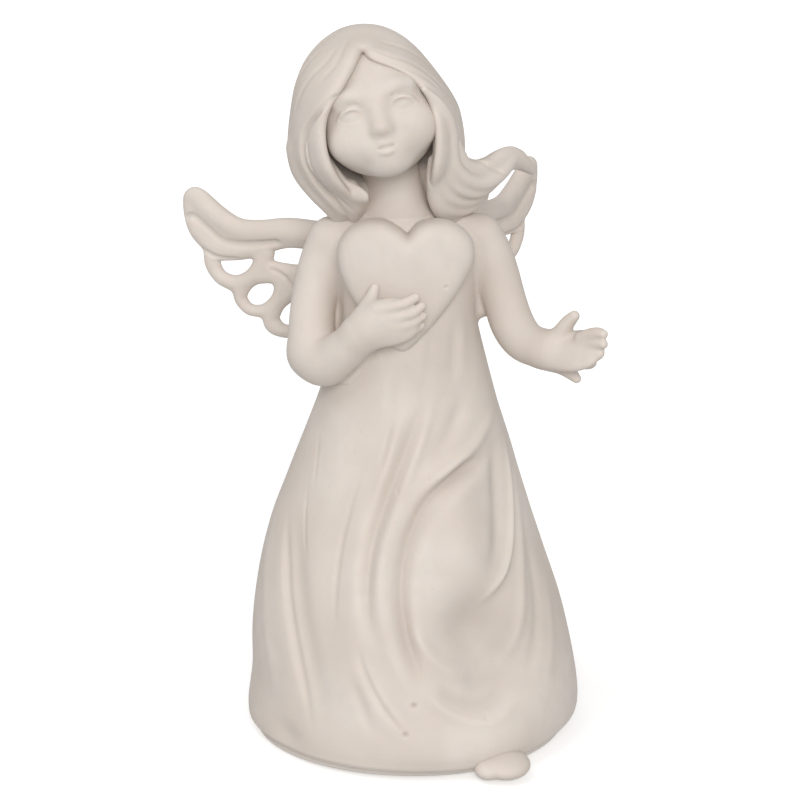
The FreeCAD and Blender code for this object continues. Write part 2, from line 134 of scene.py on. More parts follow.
class Field:
    """Signed distance values on a box of samples, negative inside."""

    def __init__(self, lo, hi, h, far=5.0):
        self.h = h
        self.lo = np.array(lo, float)
        self.n = (np.ceil((np.array(hi, float) - self.lo) / h) + 1).astype(int)
        self.ax = [self.lo[i] + h * np.arange(self.n[i]) for i in range(3)]
        self.f = np.full(tuple(self.n), far, np.float32)
        self.far = far

    def block(self, lo, hi):
        sl, ax = [], []
        for i in range(3):
            a = max(0, int(math.floor((lo[i] - self.lo[i]) / self.h)))
            b = min(int(self.n[i]), int(math.ceil((hi[i] - self.lo[i]) / self.h)) + 1)
            if b - a < 1:
                return None
            sl.append(slice(a, b))
            ax.append(self.ax[i][a:b])
        return tuple(sl), ax[0][:, None, None], ax[1][None, :, None], ax[2][None, None, :]

    def whole(self):
        return self.ax[0][:, None, None], self.ax[1][None, :, None], self.ax[2][None, None, :]

    def chain(self, pts, rad, grow):
        """Distance to a chain of round or oval links. rad rows are (r,) or (ru, rw, ux, uy, uz). Returns (slices, distance)."""
        pts = np.asarray(pts, float)
        rmax = rad[:, :2].max() if rad.shape[1] > 1 else rad.max()
        big = self.block(pts.min(0) - rmax - grow, pts.max(0) + rmax + grow)
        if big is None:
            return None
        sl0 = big[0]
        tmp = np.full(self.f[sl0].shape, self.far, np.float32)
        for k in range(len(pts) - 1):
            a, b = pts[k], pts[k + 1]
            ab = b - a
            L2 = float(ab @ ab)
            if L2 < 1e-9:
                continue
            r = max(rad[k, :2].max(), rad[k + 1, :2].max()) if rad.shape[1] > 1 else max(rad[k, 0], rad[k + 1, 0])
            blk = self.block(np.minimum(a, b) - r - grow, np.maximum(a, b) + r + grow)
            if blk is None:
                continue
            sl, x, y, z = blk
            x, y, z = x - a[0], y - a[1], z - a[2]
            t = np.clip((x * ab[0] + y * ab[1] + z * ab[2]) / L2, 0, 1)
            vx, vy, vz = x - t * ab[0], y - t * ab[1], z - t * ab[2]
            if rad.shape[1] == 1:
                d = np.sqrt(vx * vx + vy * vy + vz * vz) - (rad[k, 0] + (rad[k + 1, 0] - rad[k, 0]) * t)
            else:
                u = 0.5 * (rad[k, 2:5] + rad[k + 1, 2:5])
                tt = ab / math.sqrt(L2)
                u = u - tt * (u @ tt)
                u /= np.linalg.norm(u)
                ru = rad[k, 0] + (rad[k + 1, 0] - rad[k, 0]) * t
                rw = rad[k, 1] + (rad[k + 1, 1] - rad[k, 1]) * t
                du = vx * u[0] + vy * u[1] + vz * u[2]
                rest = np.maximum(vx * vx + vy * vy + vz * vz - du * du, 0)
                k0 = np.sqrt(du * du / (ru * ru) + rest / (rw * rw))
                k1 = np.sqrt(du * du / ru ** 4 + rest / rw ** 4) + 1e-6
                d = k0 * (k0 - 1) / k1
                d = np.maximum(d, -np.minimum(ru, rw))
            loc = tuple(slice(s.start - s0.start, s.stop - s0.start) for s, s0 in zip(sl, sl0))
            np.minimum(tmp[loc], d, out=tmp[loc])
        return sl0, tmp

    def tube(self, rows, k=1.0, per=5, cut=False, u=None):
        """rows: (x, y, z, r) or (x, y, z, ru, rw) with the flat direction u."""
        d = spline(rows, per)
        if u is None:
            rad = d[:, 3:4]
        else:
            uu = np.array(u, float)
            uu = np.tile(uu / np.linalg.norm(uu), (len(d), 1)) if uu.ndim == 1 else spline(u, per)
            rad = np.hstack([d[:, 3:5], uu])
        rad = np.maximum(rad, 0.02) if u is None else np.hstack([np.maximum(rad[:, :2], 0.05), rad[:, 2:]])
        got = self.chain(d[:, :3], rad, k + 1.0)
        if got is None:
            return self
        sl, t = got
        self.f[sl] = smax(self.f[sl], -t, k) if cut else smin(self.f[sl], t, k)
        return self

    def blob(self, c, r, rot=None, k=1.0, cut=False):
        """Ellipsoid, rot is a 3x3 matrix whose columns are its axes."""
        c = np.array(c, float)
        r = np.array(r if hasattr(r, "__len__") else (r, r, r), float)
        g = r.max() + k + 1.0
        blk = self.block(c - g, c + g)
        if blk is None:
            return self
        sl, x, y, z = blk
        x, y, z = x - c[0], y - c[1], z - c[2]
        if rot is not None:
            x, y, z = (x * rot[0, 0] + y * rot[1, 0] + z * rot[2, 0], x * rot[0, 1] + y * rot[1, 1] + z * rot[2, 1],
                       x * rot[0, 2] + y * rot[1, 2] + z * rot[2, 2])
        k0 = np.sqrt((x / r[0]) ** 2 + (y / r[1]) ** 2 + (z / r[2]) ** 2)
        k1 = np.sqrt((x / r[0] ** 2) ** 2 + (y / r[1] ** 2) ** 2 + (z / r[2] ** 2) ** 2) + 1e-6
        d = k0 * (k0 - 1) / k1
        d = np.maximum(d, -r.min())
        self.f[sl] = smax(self.f[sl], -d, k) if cut else smin(self.f[sl], d, k)
        return self

    def join(self, d, k):
        self.f = smin(self.f, d, k).astype(np.float32)
        return self

    def keep(self, d, k=0.3):
        self.f = smax(self.f, d, k).astype(np.float32)
        return self

    def even(self):
        """Rescales an arbitrary implicit function to distance near its surface."""
        gx, gy, gz = np.gradient(self.f, self.h)
        self.f = (self.f / np.maximum(np.sqrt(gx * gx + gy * gy + gz * gz), 0.05)).astype(np.float32)
        np.clip(self.f, -self.far, self.far, out=self.f)
        return self

    def sample(self, p):
        q = (np.asarray(p, float) - self.lo) / self.h
        q = np.clip(q, 0, self.n - 1.001)
        i = q.astype(int)
        f = q - i
        out = 0
        for dx in (0, 1):
            for dy in (0, 1):
                for dz in (0, 1):
                    w = (f[..., 0] if dx else 1 - f[..., 0]) * (f[..., 1] if dy else 1 - f[..., 1]) * (f[..., 2] if dz else 1 - f[..., 2])
                    out = out + w * self.f[i[..., 0] + dx, i[..., 1] + dy, i[..., 2] + dz]
        return out

    def onto(self, pts, centre, reach=9.0):
        """Moves points along the line from centre until they sit on the surface."""
        pts = np.asarray(pts, float)
        d = pts - np.asarray(centre, float)
        L = np.linalg.norm(d, axis=1)[:, None]
        d = d / L
        s = np.linspace(reach, -reach, 90)
        P = pts[:, None, :] + s[None, :, None] * d[:, None, :]
        v = self.sample(P)
        out = pts.copy()
        for i in range(len(pts)):
            k = np.flatnonzero(v[i] < 0)
            if len(k) and k[0] > 0:
                j = k[0]
                a = v[i, j - 1] / (v[i, j - 1] - v[i, j])
                out[i] = P[i, j - 1] * (1 - a) + P[i, j] * a
        return out

    def groove(self, rows, centre, width=0.5, depth=0.5, k=0.7, per=5):
        """Soft groove along a path laid on the surface, fading at both ends."""
        d = spline([r[:3] for r in rows], per)
        p = self.onto(d, centre)
        n = p - np.asarray(centre, float)
        n /= np.linalg.norm(n, axis=1)[:, None]
        t = np.linspace(0, 1, len(p))
        fade = np.minimum(1, np.minimum(t, 1 - t) * 5)
        w = np.maximum(width * (0.35 + 0.65 * fade), 0.12)
        q = p + n * (w - depth * fade)[:, None]
        got = self.chain(q, w[:, None], k + 0.8)
        if got:
            sl, dd = got
            self.f[sl] = smax(self.f[sl], -dd, k)
        return self

    def ridge(self, rows, centre, width=0.8, height=0.4, k=1.2, per=5):
        d = spline([r[:3] for r in rows], per)
        p = self.onto(d, centre)
        n = p - np.asarray(centre, float)
        n /= np.linalg.norm(n, axis=1)[:, None]
        t = np.linspace(0, 1, len(p))
        fade = np.minimum(1, np.minimum(t, 1 - t) * 4)
        w = np.maximum(width * (0.3 + 0.7 * fade), 0.15)
        q = p - n * (w - height * fade)[:, None]
        got = self.chain(q, w[:, None], k + 0.8)
        if got:
            sl, dd = got
            self.f[sl] = smin(self.f[sl], dd, k)
        return self

    def mesh(self):
        f = self.f.copy()
        f[0], f[-1] = self.far, self.far
        f[:, 0], f[:, -1] = self.far, self.far
        f[:, :, 0], f[:, :, -1] = self.far, self.far
        g = openvdb.FloatGrid(self.far)
        g.copyFromArray(np.clip(f, -self.far, self.far).astype(np.float32))
        pts, quads = g.convertToQuads(isovalue=0.0)
        return pts.astype(float) * self.h + self.lo, quads.astype(np.int64)


def polygon_distance(px, py, poly):
    """Signed distance to a closed 2-D polygon, negative inside."""
    poly = np.asarray(poly, float)
    d2 = np.full(np.broadcast(px, py).shape, 1e9)
    inside = np.zeros(d2.shape, bool)
    n = len(poly)
    for i in range(n):
        a, b = poly[i], poly[(i + 1) % n]
        ex, ey = b - a
        wx, wy = px - a[0], py - a[1]
        t = np.clip((wx * ex + wy * ey) / (ex * ex + ey * ey + 1e-12), 0, 1)
        d2 = np.minimum(d2, (wx - t * ex) ** 2 + (wy - t * ey) ** 2)
        cross = (a[1] > py) != (b[1] > py)
        xi = a[0] + (py - a[1]) * ex / (ey if abs(ey) > 1e-9 else 1e-9)
        inside ^= cross & (px < xi)
    return np.where(inside, -1, 1) * np.sqrt(d2)


class Flat:
    """Signed distance to a 2-D outline on a grid, read back by bilinear look-up."""

    def __init__(self, outline, holes=(), h=0.2, pad=6.0, per=6):
        o = spline(list(outline) + [outline[0]], per)[:-1]
        self.lo = o.min(0) - pad
        hi = o.max(0) + pad
        n = np.ceil((hi - self.lo) / h).astype(int) + 1
        x = (self.lo[0] + h * np.arange(n[0]))[:, None]
        y = (self.lo[1] + h * np.arange(n[1]))[None, :]
        self.f = polygon_distance(x, y, o)
        for w in holes:
            hp = spline(list(w) + [w[0]], per)[:-1]
            self.f = np.maximum(self.f, -polygon_distance(x, y, hp))
        self.h, self.n = h, n

    def __call__(self, x, y):
        u = np.clip((x - self.lo[0]) / self.h, 0, self.n[0] - 1.001)
        v = np.clip((y - self.lo[1]) / self.h, 0, self.n[1] - 1.001)
        i, j = u.astype(int), v.astype(int)
        a, b = u - i, v - j
        f = self.f
        return (f[i, j] * (1 - a) + f[i + 1, j] * a) * (1 - b) + (f[i, j + 1] * (1 - a) + f[i + 1, j + 1] * a) * b


def rot(axis, deg):
    return np.array(Matrix.Rotation(math.radians(deg), 3, axis))


def place(pts):
    """Sculpt millimetres on working axes to metres on the part axes."""
    p = np.asarray(pts, float)
    out = np.empty_like(p)
    out[:, 0] = p[:, 0] * CT - p[:, 1] * ST
    out[:, 1] = p[:, 0] * ST + p[:, 1] * CT
    out[:, 2] = p[:, 2]
    return out * SCALE + BASE


def relax(pts, faces, rounds=2, amount=0.5):
    """Even out voxel steps with a pair of opposite neighbour averages, which keeps the volume."""
    nv = len(pts)
    k = faces.shape[1]
    e = np.vstack([np.stack([faces[:, i], faces[:, (i + 1) % k]], 1) for i in range(k)])
    a, b = e[:, 0], e[:, 1]
    cnt = np.bincount(a, minlength=nv) + np.bincount(b, minlength=nv)
    p = pts.copy()
    for r in range(rounds):
        for s in (amount, -amount * 1.04):
            m = np.empty_like(p)
            for c in range(3):
                m[:, c] = (np.bincount(a, p[b, c], nv) + np.bincount(b, p[a, c], nv)) / np.maximum(cnt, 1)
            p = p + s * (m - p)
    return p


def largest(pts, faces, floor=0.02):
    """Drops loose crumbs: keeps connected parts holding at least a share of the faces."""
    lab = np.arange(len(pts))
    k = faces.shape[1]
    while True:
        m = lab[faces].min(1)
        new = lab.copy()
        for i in range(k):
            np.minimum.at(new, faces[:, i], m)
        new = new[new]
        if (new == lab).all():
            break
        lab = new
    fl = lab[faces[:, 0]]
    ids, cnt = np.unique(fl, return_counts=True)
    good = ids[cnt >= floor * len(faces)]
    keep = np.isin(fl, good)
    faces = faces[keep]
    used = np.unique(faces)
    back = np.full(len(pts), -1)
    back[used] = np.arange(len(used))
    return pts[used], back[faces]


def cavity(pts, faces, span=0.9):
    """Concavity at each vertex, 0 flat, towards 1 in creases, towards -1 on ridges."""
    k = faces.shape[1]
    nv = len(pts)
    a = pts[faces[:, 2]] - pts[faces[:, 0]]
    b = pts[faces[:, 3 % k]] - pts[faces[:, 1]]
    fn = np.cross(a, b)
    vn = np.zeros((nv, 3))
    for i in range(k):
        for c in range(3):
            vn[:, c] += np.bincount(faces[:, i], fn[:, c], nv)
    vn /= np.linalg.norm(vn, axis=1)[:, None] + 1e-12
    e = np.vstack([np.stack([faces[:, i], faces[:, (i + 1) % k]], 1) for i in range(k)])
    a, b = e[:, 0], e[:, 1]
    cnt = np.maximum(np.bincount(a, minlength=nv) + np.bincount(b, minlength=nv), 1)
    p = pts
    for r in range(6):
        m = np.empty_like(p)
        for c in range(3):
            m[:, c] = (np.bincount(a, p[b, c], nv) + np.bincount(b, p[a, c], nv)) / cnt
        p = p + 0.5 * (m - p)
    c = ((p - pts) * vn).sum(1) / span
    for r in range(2):
        c = 0.5 * c + 0.5 * (np.bincount(a, c[b], nv) + np.bincount(b, c[a], nv)) / cnt
    return np.clip(c, -1, 1)


PIECES = {}


def build(name, pts, faces, node, slot, clean=True, mm_to_frame=None, shade=None):
    t = time.time()
    if clean:
        pts, faces = largest(pts, faces)
    cav = cavity(pts, faces)
    # shade adds painted shade to the cavity attribute, which the material darkens by
    if shade is not None:
        cav = cav + shade(pts)
    p = place(pts) if mm_to_frame is None else mm_to_frame(pts)
    me = bpy.data.meshes.new(name)
    k = faces.shape[1]
    me.vertices.add(len(p))
    me.vertices.foreach_set("co", p.astype(np.float32).ravel())
    me.loops.add(len(faces) * k)
    me.loops.foreach_set("vertex_index", faces.astype(np.int32).ravel())
    me.polygons.add(len(faces))
    me.polygons.foreach_set("loop_start", np.arange(0, len(faces) * k, k, dtype=np.int32))
    me.polygons.foreach_set("use_smooth", np.ones(len(faces), bool))
    me.update(calc_edges=True)
    # the material paints shade into the creases and a highlight onto the ridges from this attribute
    att = me.attributes.new("cavity", "FLOAT", "POINT")
    att.data.foreach_set("value", cav.astype(np.float32))
    me.validate()
    o = bpy.data.objects.new(name, me)
    bpy.context.scene.collection.objects.link(o)
    # outward normals
    import bmesh
    bm = bmesh.new()
    bm.from_mesh(me)
    vol = bm.calc_volume(signed=True)
    if vol < 0:
        bmesh.ops.reverse_faces(bm, faces=bm.faces)
        bm.to_mesh(me)
    bm.free()
    o.data.materials.append(slot)
    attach(o, "root")
    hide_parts(node)
    PIECES[name] = o
    print("%-12s verts %7d faces %7d  vol %.1f cm3  t %.1f" % (name, len(p), len(faces), abs(vol) * 1e6, time.time() - T_START), flush=True)
    return o


# ---- materials -------------------------------------------------------------------------
def node(nt, kind, x=0, y=0, **props):
    n = nt.nodes.new(kind)
    n.location = (x, y)
    for k, v in props.items():
        setattr(n, k, v)
    return n


def noise(nt, vec, scale, detail=3.0, rough=0.55, distortion=0.0):
    n = node(nt, "ShaderNodeTexNoise")
    n.inputs["Scale"].default_value = scale
    n.inputs["Detail"].default_value = detail
    n.inputs["Roughness"].default_value = rough
    n.inputs["Distortion"].default_value = distortion
    nt.links.new(vec, n.inputs["Vector"])
    return n.outputs["Fac"] if "Fac" in n.outputs else n.outputs[0]


def ramp(nt, fac, lo, hi, a, b):
    n = node(nt, "ShaderNodeMapRange")
    n.clamp = True
    n.inputs["From Min"].default_value = lo
    n.inputs["From Max"].default_value = hi
    n.inputs["To Min"].default_value = a
    n.inputs["To Max"].default_value = b
    nt.links.new(fac, n.inputs["Value"])
    return n.outputs["Result"]


def mix(nt, fac, a, b, mode="MIX"):
    n = node(nt, "ShaderNodeMix", data_type="RGBA", blend_type=mode)
    for sock, v in ((n.inputs[0], fac), (n.inputs[6], a), (n.inputs[7], b)):
        if hasattr(v, "links") or hasattr(v, "is_linked"):
            nt.links.new(v, sock)
        elif isinstance(v, (tuple, list)):
            sock.default_value = (*v, 1.0) if len(v) == 3 else v
        else:
            sock.default_value = v
    return n.outputs[2]


def math_node(nt, op, a, b=None):
    n = node(nt, "ShaderNodeMath", operation=op)
    for i, v in enumerate((a, b)):
        if v is None:
            continue
        if hasattr(v, "is_linked"):
            nt.links.new(v, n.inputs[i])
        else:
            n.inputs[i].default_value = v
    return n.outputs[0]


def bump(nt, height, strength, distance, normal=None):
    n = node(nt, "ShaderNodeBump")
    n.inputs["Strength"].default_value = strength
    n.inputs["Distance"].default_value = distance
    nt.links.new(height, n.inputs["Height"])
    if normal is not None:
        nt.links.new(normal, n.inputs["Normal"])
    return n.outputs["Normal"]


def fresh(name):
    m = bpy.data.materials.new(name)
    m.use_nodes = True
    nt = m.node_tree
    nt.nodes.clear()
    out = node(nt, "ShaderNodeOutputMaterial", 900, 0)
    b = node(nt, "ShaderNodeBsdfPrincipled", 600, 0)
    nt.links.new(b.outputs[0], out.inputs["Surface"])
    pos = node(nt, "ShaderNodeTexCoord").outputs["Object"]
    return m, nt, b, pos


def cast_resin(name="cast_resin", base=(0.628, 0.568, 0.516)):
    """Matt off-white painted polyresin, faintly mottled and powdery; painted shade darkens and warms the creases and a
    painted highlight lightens the ridges.
    """
    m, nt, b, pos = fresh(name)
    cav = node(nt, "ShaderNodeAttribute", attribute_name="cavity").outputs["Fac"]
    broad = noise(nt, pos, 38.0, 2.0)
    mid = noise(nt, pos, 210.0, 3.0)
    fine = noise(nt, pos, 1500.0, 4.0, 0.65)
    dark = tuple(c * k for c, k in zip(base, (0.955, 0.94, 0.925)))
    light = tuple(min(1.0, c * k) for c, k in zip(base, (1.025, 1.03, 1.035)))
    col = mix(nt, ramp(nt, broad, 0.38, 0.62, 0.0, 1.0), dark, light)
    col = mix(nt, ramp(nt, mid, 0.42, 0.66, 0.0, 0.35), col, tuple(c * 0.93 for c in base))
    specks = ramp(nt, noise(nt, pos, 900.0, 1.0), 0.74, 0.80, 0.0, 0.22)
    col = mix(nt, specks, col, (0.47, 0.39, 0.32))
    # painted shade: concave vertices (cavity attribute) are mixed towards a warm dark colour
    col = mix(nt, ramp(nt, cav, 0.01, 0.26, 0.0, 0.56), col, (0.425, 0.368, 0.322))
    # painted highlight: convex ridges are mixed towards a lighter colour
    col = mix(nt, ramp(nt, cav, -0.04, -0.25, 0.0, 0.45), col, (0.70, 0.645, 0.59))
    nt.links.new(col, b.inputs["Base Color"])
    r = math_node(nt, "ADD", ramp(nt, mid, 0.3, 0.7, 0.62, 0.76), ramp(nt, fine, 0.3, 0.7, -0.05, 0.05))
    nt.links.new(r, b.inputs["Roughness"])
    b.inputs["Specular IOR Level"].default_value = 0.34
    b.inputs["Subsurface Weight"].default_value = 0.22
    b.inputs["Subsurface Radius"].default_value = (1.0, 0.62, 0.42)
    b.inputs["Subsurface Scale"].default_value = 0.0016
    n1 = bump(nt, broad, 0.2, 0.0005)
    n2 = bump(nt, mid, 0.22, 0.00022, n1)
    n3 = bump(nt, fine, 0.30, 0.00005, n2)
    nt.links.new(n3, b.inputs["Normal"])
    return m


def felt_material():
    m, nt, b, pos = fresh("felt_green")
    fib = noise(nt, pos, 1800.0, 6.0, 0.7, 1.5)
    blot = noise(nt, pos, 120.0, 3.0)
    col = mix(nt, ramp(nt, fib, 0.3, 0.7, 0.0, 1.0), (0.30, 0.275, 0.245), (0.38, 0.35, 0.315))
    col = mix(nt, ramp(nt, blot, 0.4, 0.6, 0.0, 0.3), col, (0.27, 0.25, 0.22))
    nt.links.new(col, b.inputs["Base Color"])
    nt.links.new(ramp(nt, fib, 0.3, 0.7, 0.88, 1.0), b.inputs["Roughness"])
    nt.links.new(bump(nt, fib, 0.7, 0.0003), b.inputs["Normal"])
    return m


def rubber_material():
    m, nt, b, pos = fresh("stopper_rubber")
    a = noise(nt, pos, 700.0, 4.0)
    c = noise(nt, pos, 90.0, 2.0)
    nt.links.new(mix(nt, ramp(nt, c, 0.35, 0.65, 0.0, 1.0), (0.70, 0.69, 0.66), (0.62, 0.61, 0.58)), b.inputs["Base Color"])
    nt.links.new(ramp(nt, a, 0.3, 0.7, 0.5, 0.65), b.inputs["Roughness"])
    nt.links.new(bump(nt, a, 0.3, 0.0001), b.inputs["Normal"])
    return m


def steel_material():
    m, nt, b, pos = fresh("pin_steel")
    a = noise(nt, pos, 600.0, 5.0, 0.7)
    nt.links.new(mix(nt, ramp(nt, a, 0.35, 0.65, 0.0, 1.0), (0.52, 0.52, 0.53), (0.62, 0.61, 0.60)), b.inputs["Base Color"])
    b.inputs["Metallic"].default_value = 1.0
    nt.links.new(ramp(nt, a, 0.3, 0.7, 0.25, 0.42), b.inputs["Roughness"])
    nt.links.new(bump(nt, a, 0.2, 0.00005), b.inputs["Normal"])
    return m


RESIN = cast_resin()
for cad, mat in (("felt_pad", felt_material()), ("base_stopper", rubber_material()), ("wing_pins", steel_material()), ("arm_pins", None), ("neck_pin", None)):
    mat = mat or bpy.data.materials["pin_steel"]
    o = frame["nodes"][cad]
    o.data.materials.clear()
    o.data.materials.append(mat)

# ---- gown ----------------------------------------------------------------------------------
GOWN = [(1.0, 0.0, 0.0, 41.0, 39.6), (2.2, 0.1, 0.0, 41.3, 39.9), (4.5, 0.3, 0.0, 41.7, 40.3), (8.0, 0.5, 0.0, 41.9, 40.4), (16.0, 0.6, 0.0, 41.0, 39.4),
        (26.0, -0.2, 0.2, 40.0, 37.8), (36.0, -1.0, 0.4, 38.2, 35.4), (46.0, -1.9, 0.6, 35.6, 32.4), (56.0, -2.2, 0.8, 32.6, 29.2),
        (66.0, -1.8, 0.8, 29.1, 25.8), (76.0, -1.3, 0.8, 25.7, 22.4), (86.0, -1.0, 0.6, 22.4, 19.2), (96.0, -0.9, 0.4, 19.5, 16.8),
        (106.0, -0.8, 0.2, 17.0, 15.0), (114.0, -0.9, 0.2, 16.7, 14.4), (120.0, -1.3, 0.2, 17.6, 13.8), (125.0, -1.8, 0.2, 18.4, 12.8),
        (129.0, -2.3, 0.0, 16.2, 11.4), (132.0, -2.8, -0.2, 12.6, 9.8), (134.0, -3.2, -0.4, 9.6, 8.6)]
G = spline(GOWN, 10)


def gown_base(th, z):
    """Centre and radius of the plain gown at an angle (radians) and height."""
    cx, cy = np.interp(z, G[:, 0], G[:, 1]), np.interp(z, G[:, 0], G[:, 2])
    rx, ry = np.interp(z, G[:, 0], G[:, 3]), np.interp(z, G[:, 0], G[:, 4])
    return cx, cy, 1.0 / np.sqrt((np.cos(th) / rx) ** 2 + (np.sin(th) / ry) ** 2)


# folds: path of (angle in degrees, height in mm); then bumps across it as (offset, half width, height), + on the path's left when walking down it seen from outside
FOLDS = [
    ("knee crease", [(-27.0, 76.0), (-38.0, 75.0), (-47.5, 74.2), (-58.5, 72.8), (-69.4, 70.2), (-78.6, 65.9), (-85.0, 59.8), (-88.9, 53.0), (-90.6, 45.4), (-90.3, 37.9), (-88.2, 30.9), (-84.6, 25.6), (-79.9, 21.2)],
     [(0.2, 1.75, -2.35), (4.2, 2.1, 0.8), (-3.2, 2.4, 0.35)], 0.24),
    ("over knee", [(-12.0, 87.0), (-25.0, 83.4), (-40.7, 79.9), (-50.2, 78.0), (-59.2, 76.4), (-66.9, 74.4), (-73.4, 72.1), (-79.5, 68.6)], [(0.2, 1.7, 0.95)], 0.3),
    ("above", [(-34.0, 93.4), (-47.2, 87.6), (-52.1, 85.2), (-62.6, 80.2), (-69.6, 76.7), (-76.3, 73.1)], [(0.6, 2.2, -0.8)], 0.32),
    ("long ridge", [(-64.0, 97.0), (-72.1, 91.1), (-79.0, 85.4), (-84.6, 80.0), (-89.6, 74.4), (-94.4, 67.9), (-98.6, 60.9), (-101.2, 53.9), (-101.9, 44.7), (-100.7, 35.4), (-97.3, 28.4)], [(-0.6, 1.8, 1.05)], 0.3),
    ("long valley", [(-72.0, 93.0), (-80.6, 87.0), (-87.1, 81.3), (-92.5, 75.5), (-97.4, 69.9), (-101.9, 63.2), (-104.8, 56.1), (-105.9, 47.5), (-105.4, 39.4), (-103.6, 33.6)], [(0.2, 1.55, -1.6), (3.6, 2.0, 0.35)], 0.28),
    ("left of it", [(-90.5, 92.3), (-95.7, 85.6), (-99.8, 79.2), (-103.6, 72.4), (-107.4, 64.8)], [(0.0, 1.4, 0.5)], 0.35),
    ("faint", [(-99.6, 87.4), (-103.0, 80.5), (-105.6, 73.6)], [(0.0, 0.8, -0.35)], 0.4),
    ("mid line", [(-116.4, 77.0), (-118.6, 68.0), (-120.2, 59.2), (-120.6, 50.1), (-120.2, 41.0), (-119.6, 33.0)], [(0.0, 0.7, -0.36), (-2.2, 1.8, 0.2)], 0.4),
    ("thin one", [(-150.6, 68.8), (-143.4, 59.6), (-136.8, 50.1)], [(0.0, 0.42, -0.3)], 0.4),
    ("thin two", [(-157.8, 81.6), (-149.9, 74.0), (-143.6, 66.4)], [(0.0, 0.5, -0.2)], 0.4),
    ("side fold", [(-158.6, 62.0), (-153.4, 56.0), (-148.8, 49.5), (-144.2, 41.4), (-138.8, 32.4), (-133.6, 23.8), (-129.6, 15.2), (-126.1, 7.7)], [(0.2, 1.05, -0.8), (-3.4, 3.6, -1.35)], 0.34),
    ("low line", [(-109.8, 34.4), (-106.8, 27.6), (-102.4, 21.4), (-97.1, 16.2), (-90.7, 11.3)], [(0.0, 0.6, -0.6), (1.9, 1.6, 0.3), (-2.6, 2.0, -0.35)], 0.34),
    ("low valley", [(-111.9, 27.1), (-109.0, 21.0), (-106.1, 15.2), (-102.6, 9.9)], [(0.0, 1.5, -0.5)], 0.4),
    ("hollow arc", [(-89.0, 41.0), (-86.6, 37.2), (-84.0, 34.0), (-80.9, 31.2), (-77.0, 28.7), (-73.0, 26.8), (-68.0, 25.6), (-62.0, 25.8)], [(0.0, 1.6, 0.7)], 0.3),
    ("hollow lip", [(-87.0, 27.0), (-80.6, 21.2), (-72.5, 17.3), (-63.6, 15.8), (-54.8, 17.0), (-47.6, 20.6)], [(1.1, 1.5, 0.65), (-2.0, 2.0, -1.2)], 0.32),
    ("right ridge", [(-8.9, 80.3), (-17.0, 72.6), (-23.3, 66.0), (-28.9, 59.6), (-35.2, 53.9), (-42.9, 48.9), (-51.5, 44.6), (-58.0, 41.0)], [(-0.4, 1.05, 1.1), (-2.8, 2.0, -0.35)], 0.3),
    ("right valley", [(-24.1, 82.2), (-29.1, 74.5), (-34.2, 66.7), (-39.9, 59.0), (-47.0, 52.4), (-56.4, 46.8)], [(-0.7, 2.9, -1.45)], 0.32),
    ("outer ridge", [(-10.0, 70.0), (-19.6, 60.2), (-30.0, 49.3), (-38.4, 38.8), (-45.9, 29.6), (-55.8, 22.0)], [(0.0, 1.6, 0.65)], 0.32),
    ("outer valley", [(-15.8, 58.6), (-22.6, 47.9), (-30.6, 36.8), (-37.8, 26.9), (-44.7, 19.0)], [(0.0, 1.8, -0.5)], 0.35),
    ("right soft", [(-14.3, 46.1), (-21.8, 35.0), (-29.8, 23.7), (-38.5, 14.6)], [(0.0, 2.2, 0.4)], 0.35),
    ("left edge", [(-170.0, 58.0), (-165.8, 48.9), (-159.3, 37.3), (-152.1, 24.4), (-144.5, 12.2)], [(0.0, 2.4, 0.3)], 0.35),
    # back and sides, falling from the wings
    ("b1", [(24.0, 96.0), (20.0, 74.0), (17.0, 50.0), (20.0, 28.0), (24.0, 8.0)], [(0.0, 1.8, -1.2), (3.2, 2.4, 0.6)], 0.3),
    ("b2", [(50.0, 104.0), (47.0, 80.0), (42.0, 56.0), (44.0, 30.0), (47.0, 7.0)], [(0.0, 1.5, -1.8), (-3.0, 2.2, 0.8)], 0.25),
    ("b3", [(76.0, 108.0), (74.0, 84.0), (71.0, 60.0), (68.0, 34.0), (70.0, 6.0)], [(0.0, 1.4, -1.4), (2.8, 2.0, 0.8)], 0.25),
    ("b4", [(98.0, 110.0), (99.0, 84.0), (101.0, 58.0), (98.0, 32.0), (96.0, 6.0)], [(0.0, 1.8, -2.0), (3.4, 2.3, 0.9)], 0.25),
    ("b5", [(120.0, 106.0), (124.0, 80.0), (127.0, 54.0), (124.0, 28.0), (123.0, 6.0)], [(0.0, 1.4, -1.4), (-2.8, 2.0, 0.7)], 0.25),
    ("b6", [(142.0, 98.0), (149.0, 74.0), (153.0, 50.0), (150.0, 26.0), (147.0, 7.0)], [(0.0, 1.7, -1.5), (3.0, 2.0, 0.6)], 0.3),
    ("b7", [(168.0, 84.0), (173.0, 64.0), (175.0, 44.0), (172.0, 22.0)], [(0.0, 1.3, -0.6)], 0.35),
    ("b8", [(4.0, 84.0), (3.0, 66.0), (1.0, 44.0), (-2.0, 24.0)], [(0.0, 1.3, -0.5), (2.4, 1.8, 0.3)], 0.35),
    # bodice, under the bust and beside the waist
    ("bodice1", [(-66.0, 112.0), (-70.0, 104.0), (-75.0, 96.0), (-80.0, 89.0)], [(0.0, 1.6, -0.4)], 0.4),
    ("bodice2", [(-42.0, 112.0), (-47.0, 102.0), (-53.0, 93.0)], [(0.0, 1.5, -0.35), (-2.6, 1.8, 0.3)], 0.4),
    ("bodice3", [(-100.0, 100.0), (-103.0, 92.0), (-105.0, 85.0)], [(0.0, 1.4, -0.35)], 0.4),
]
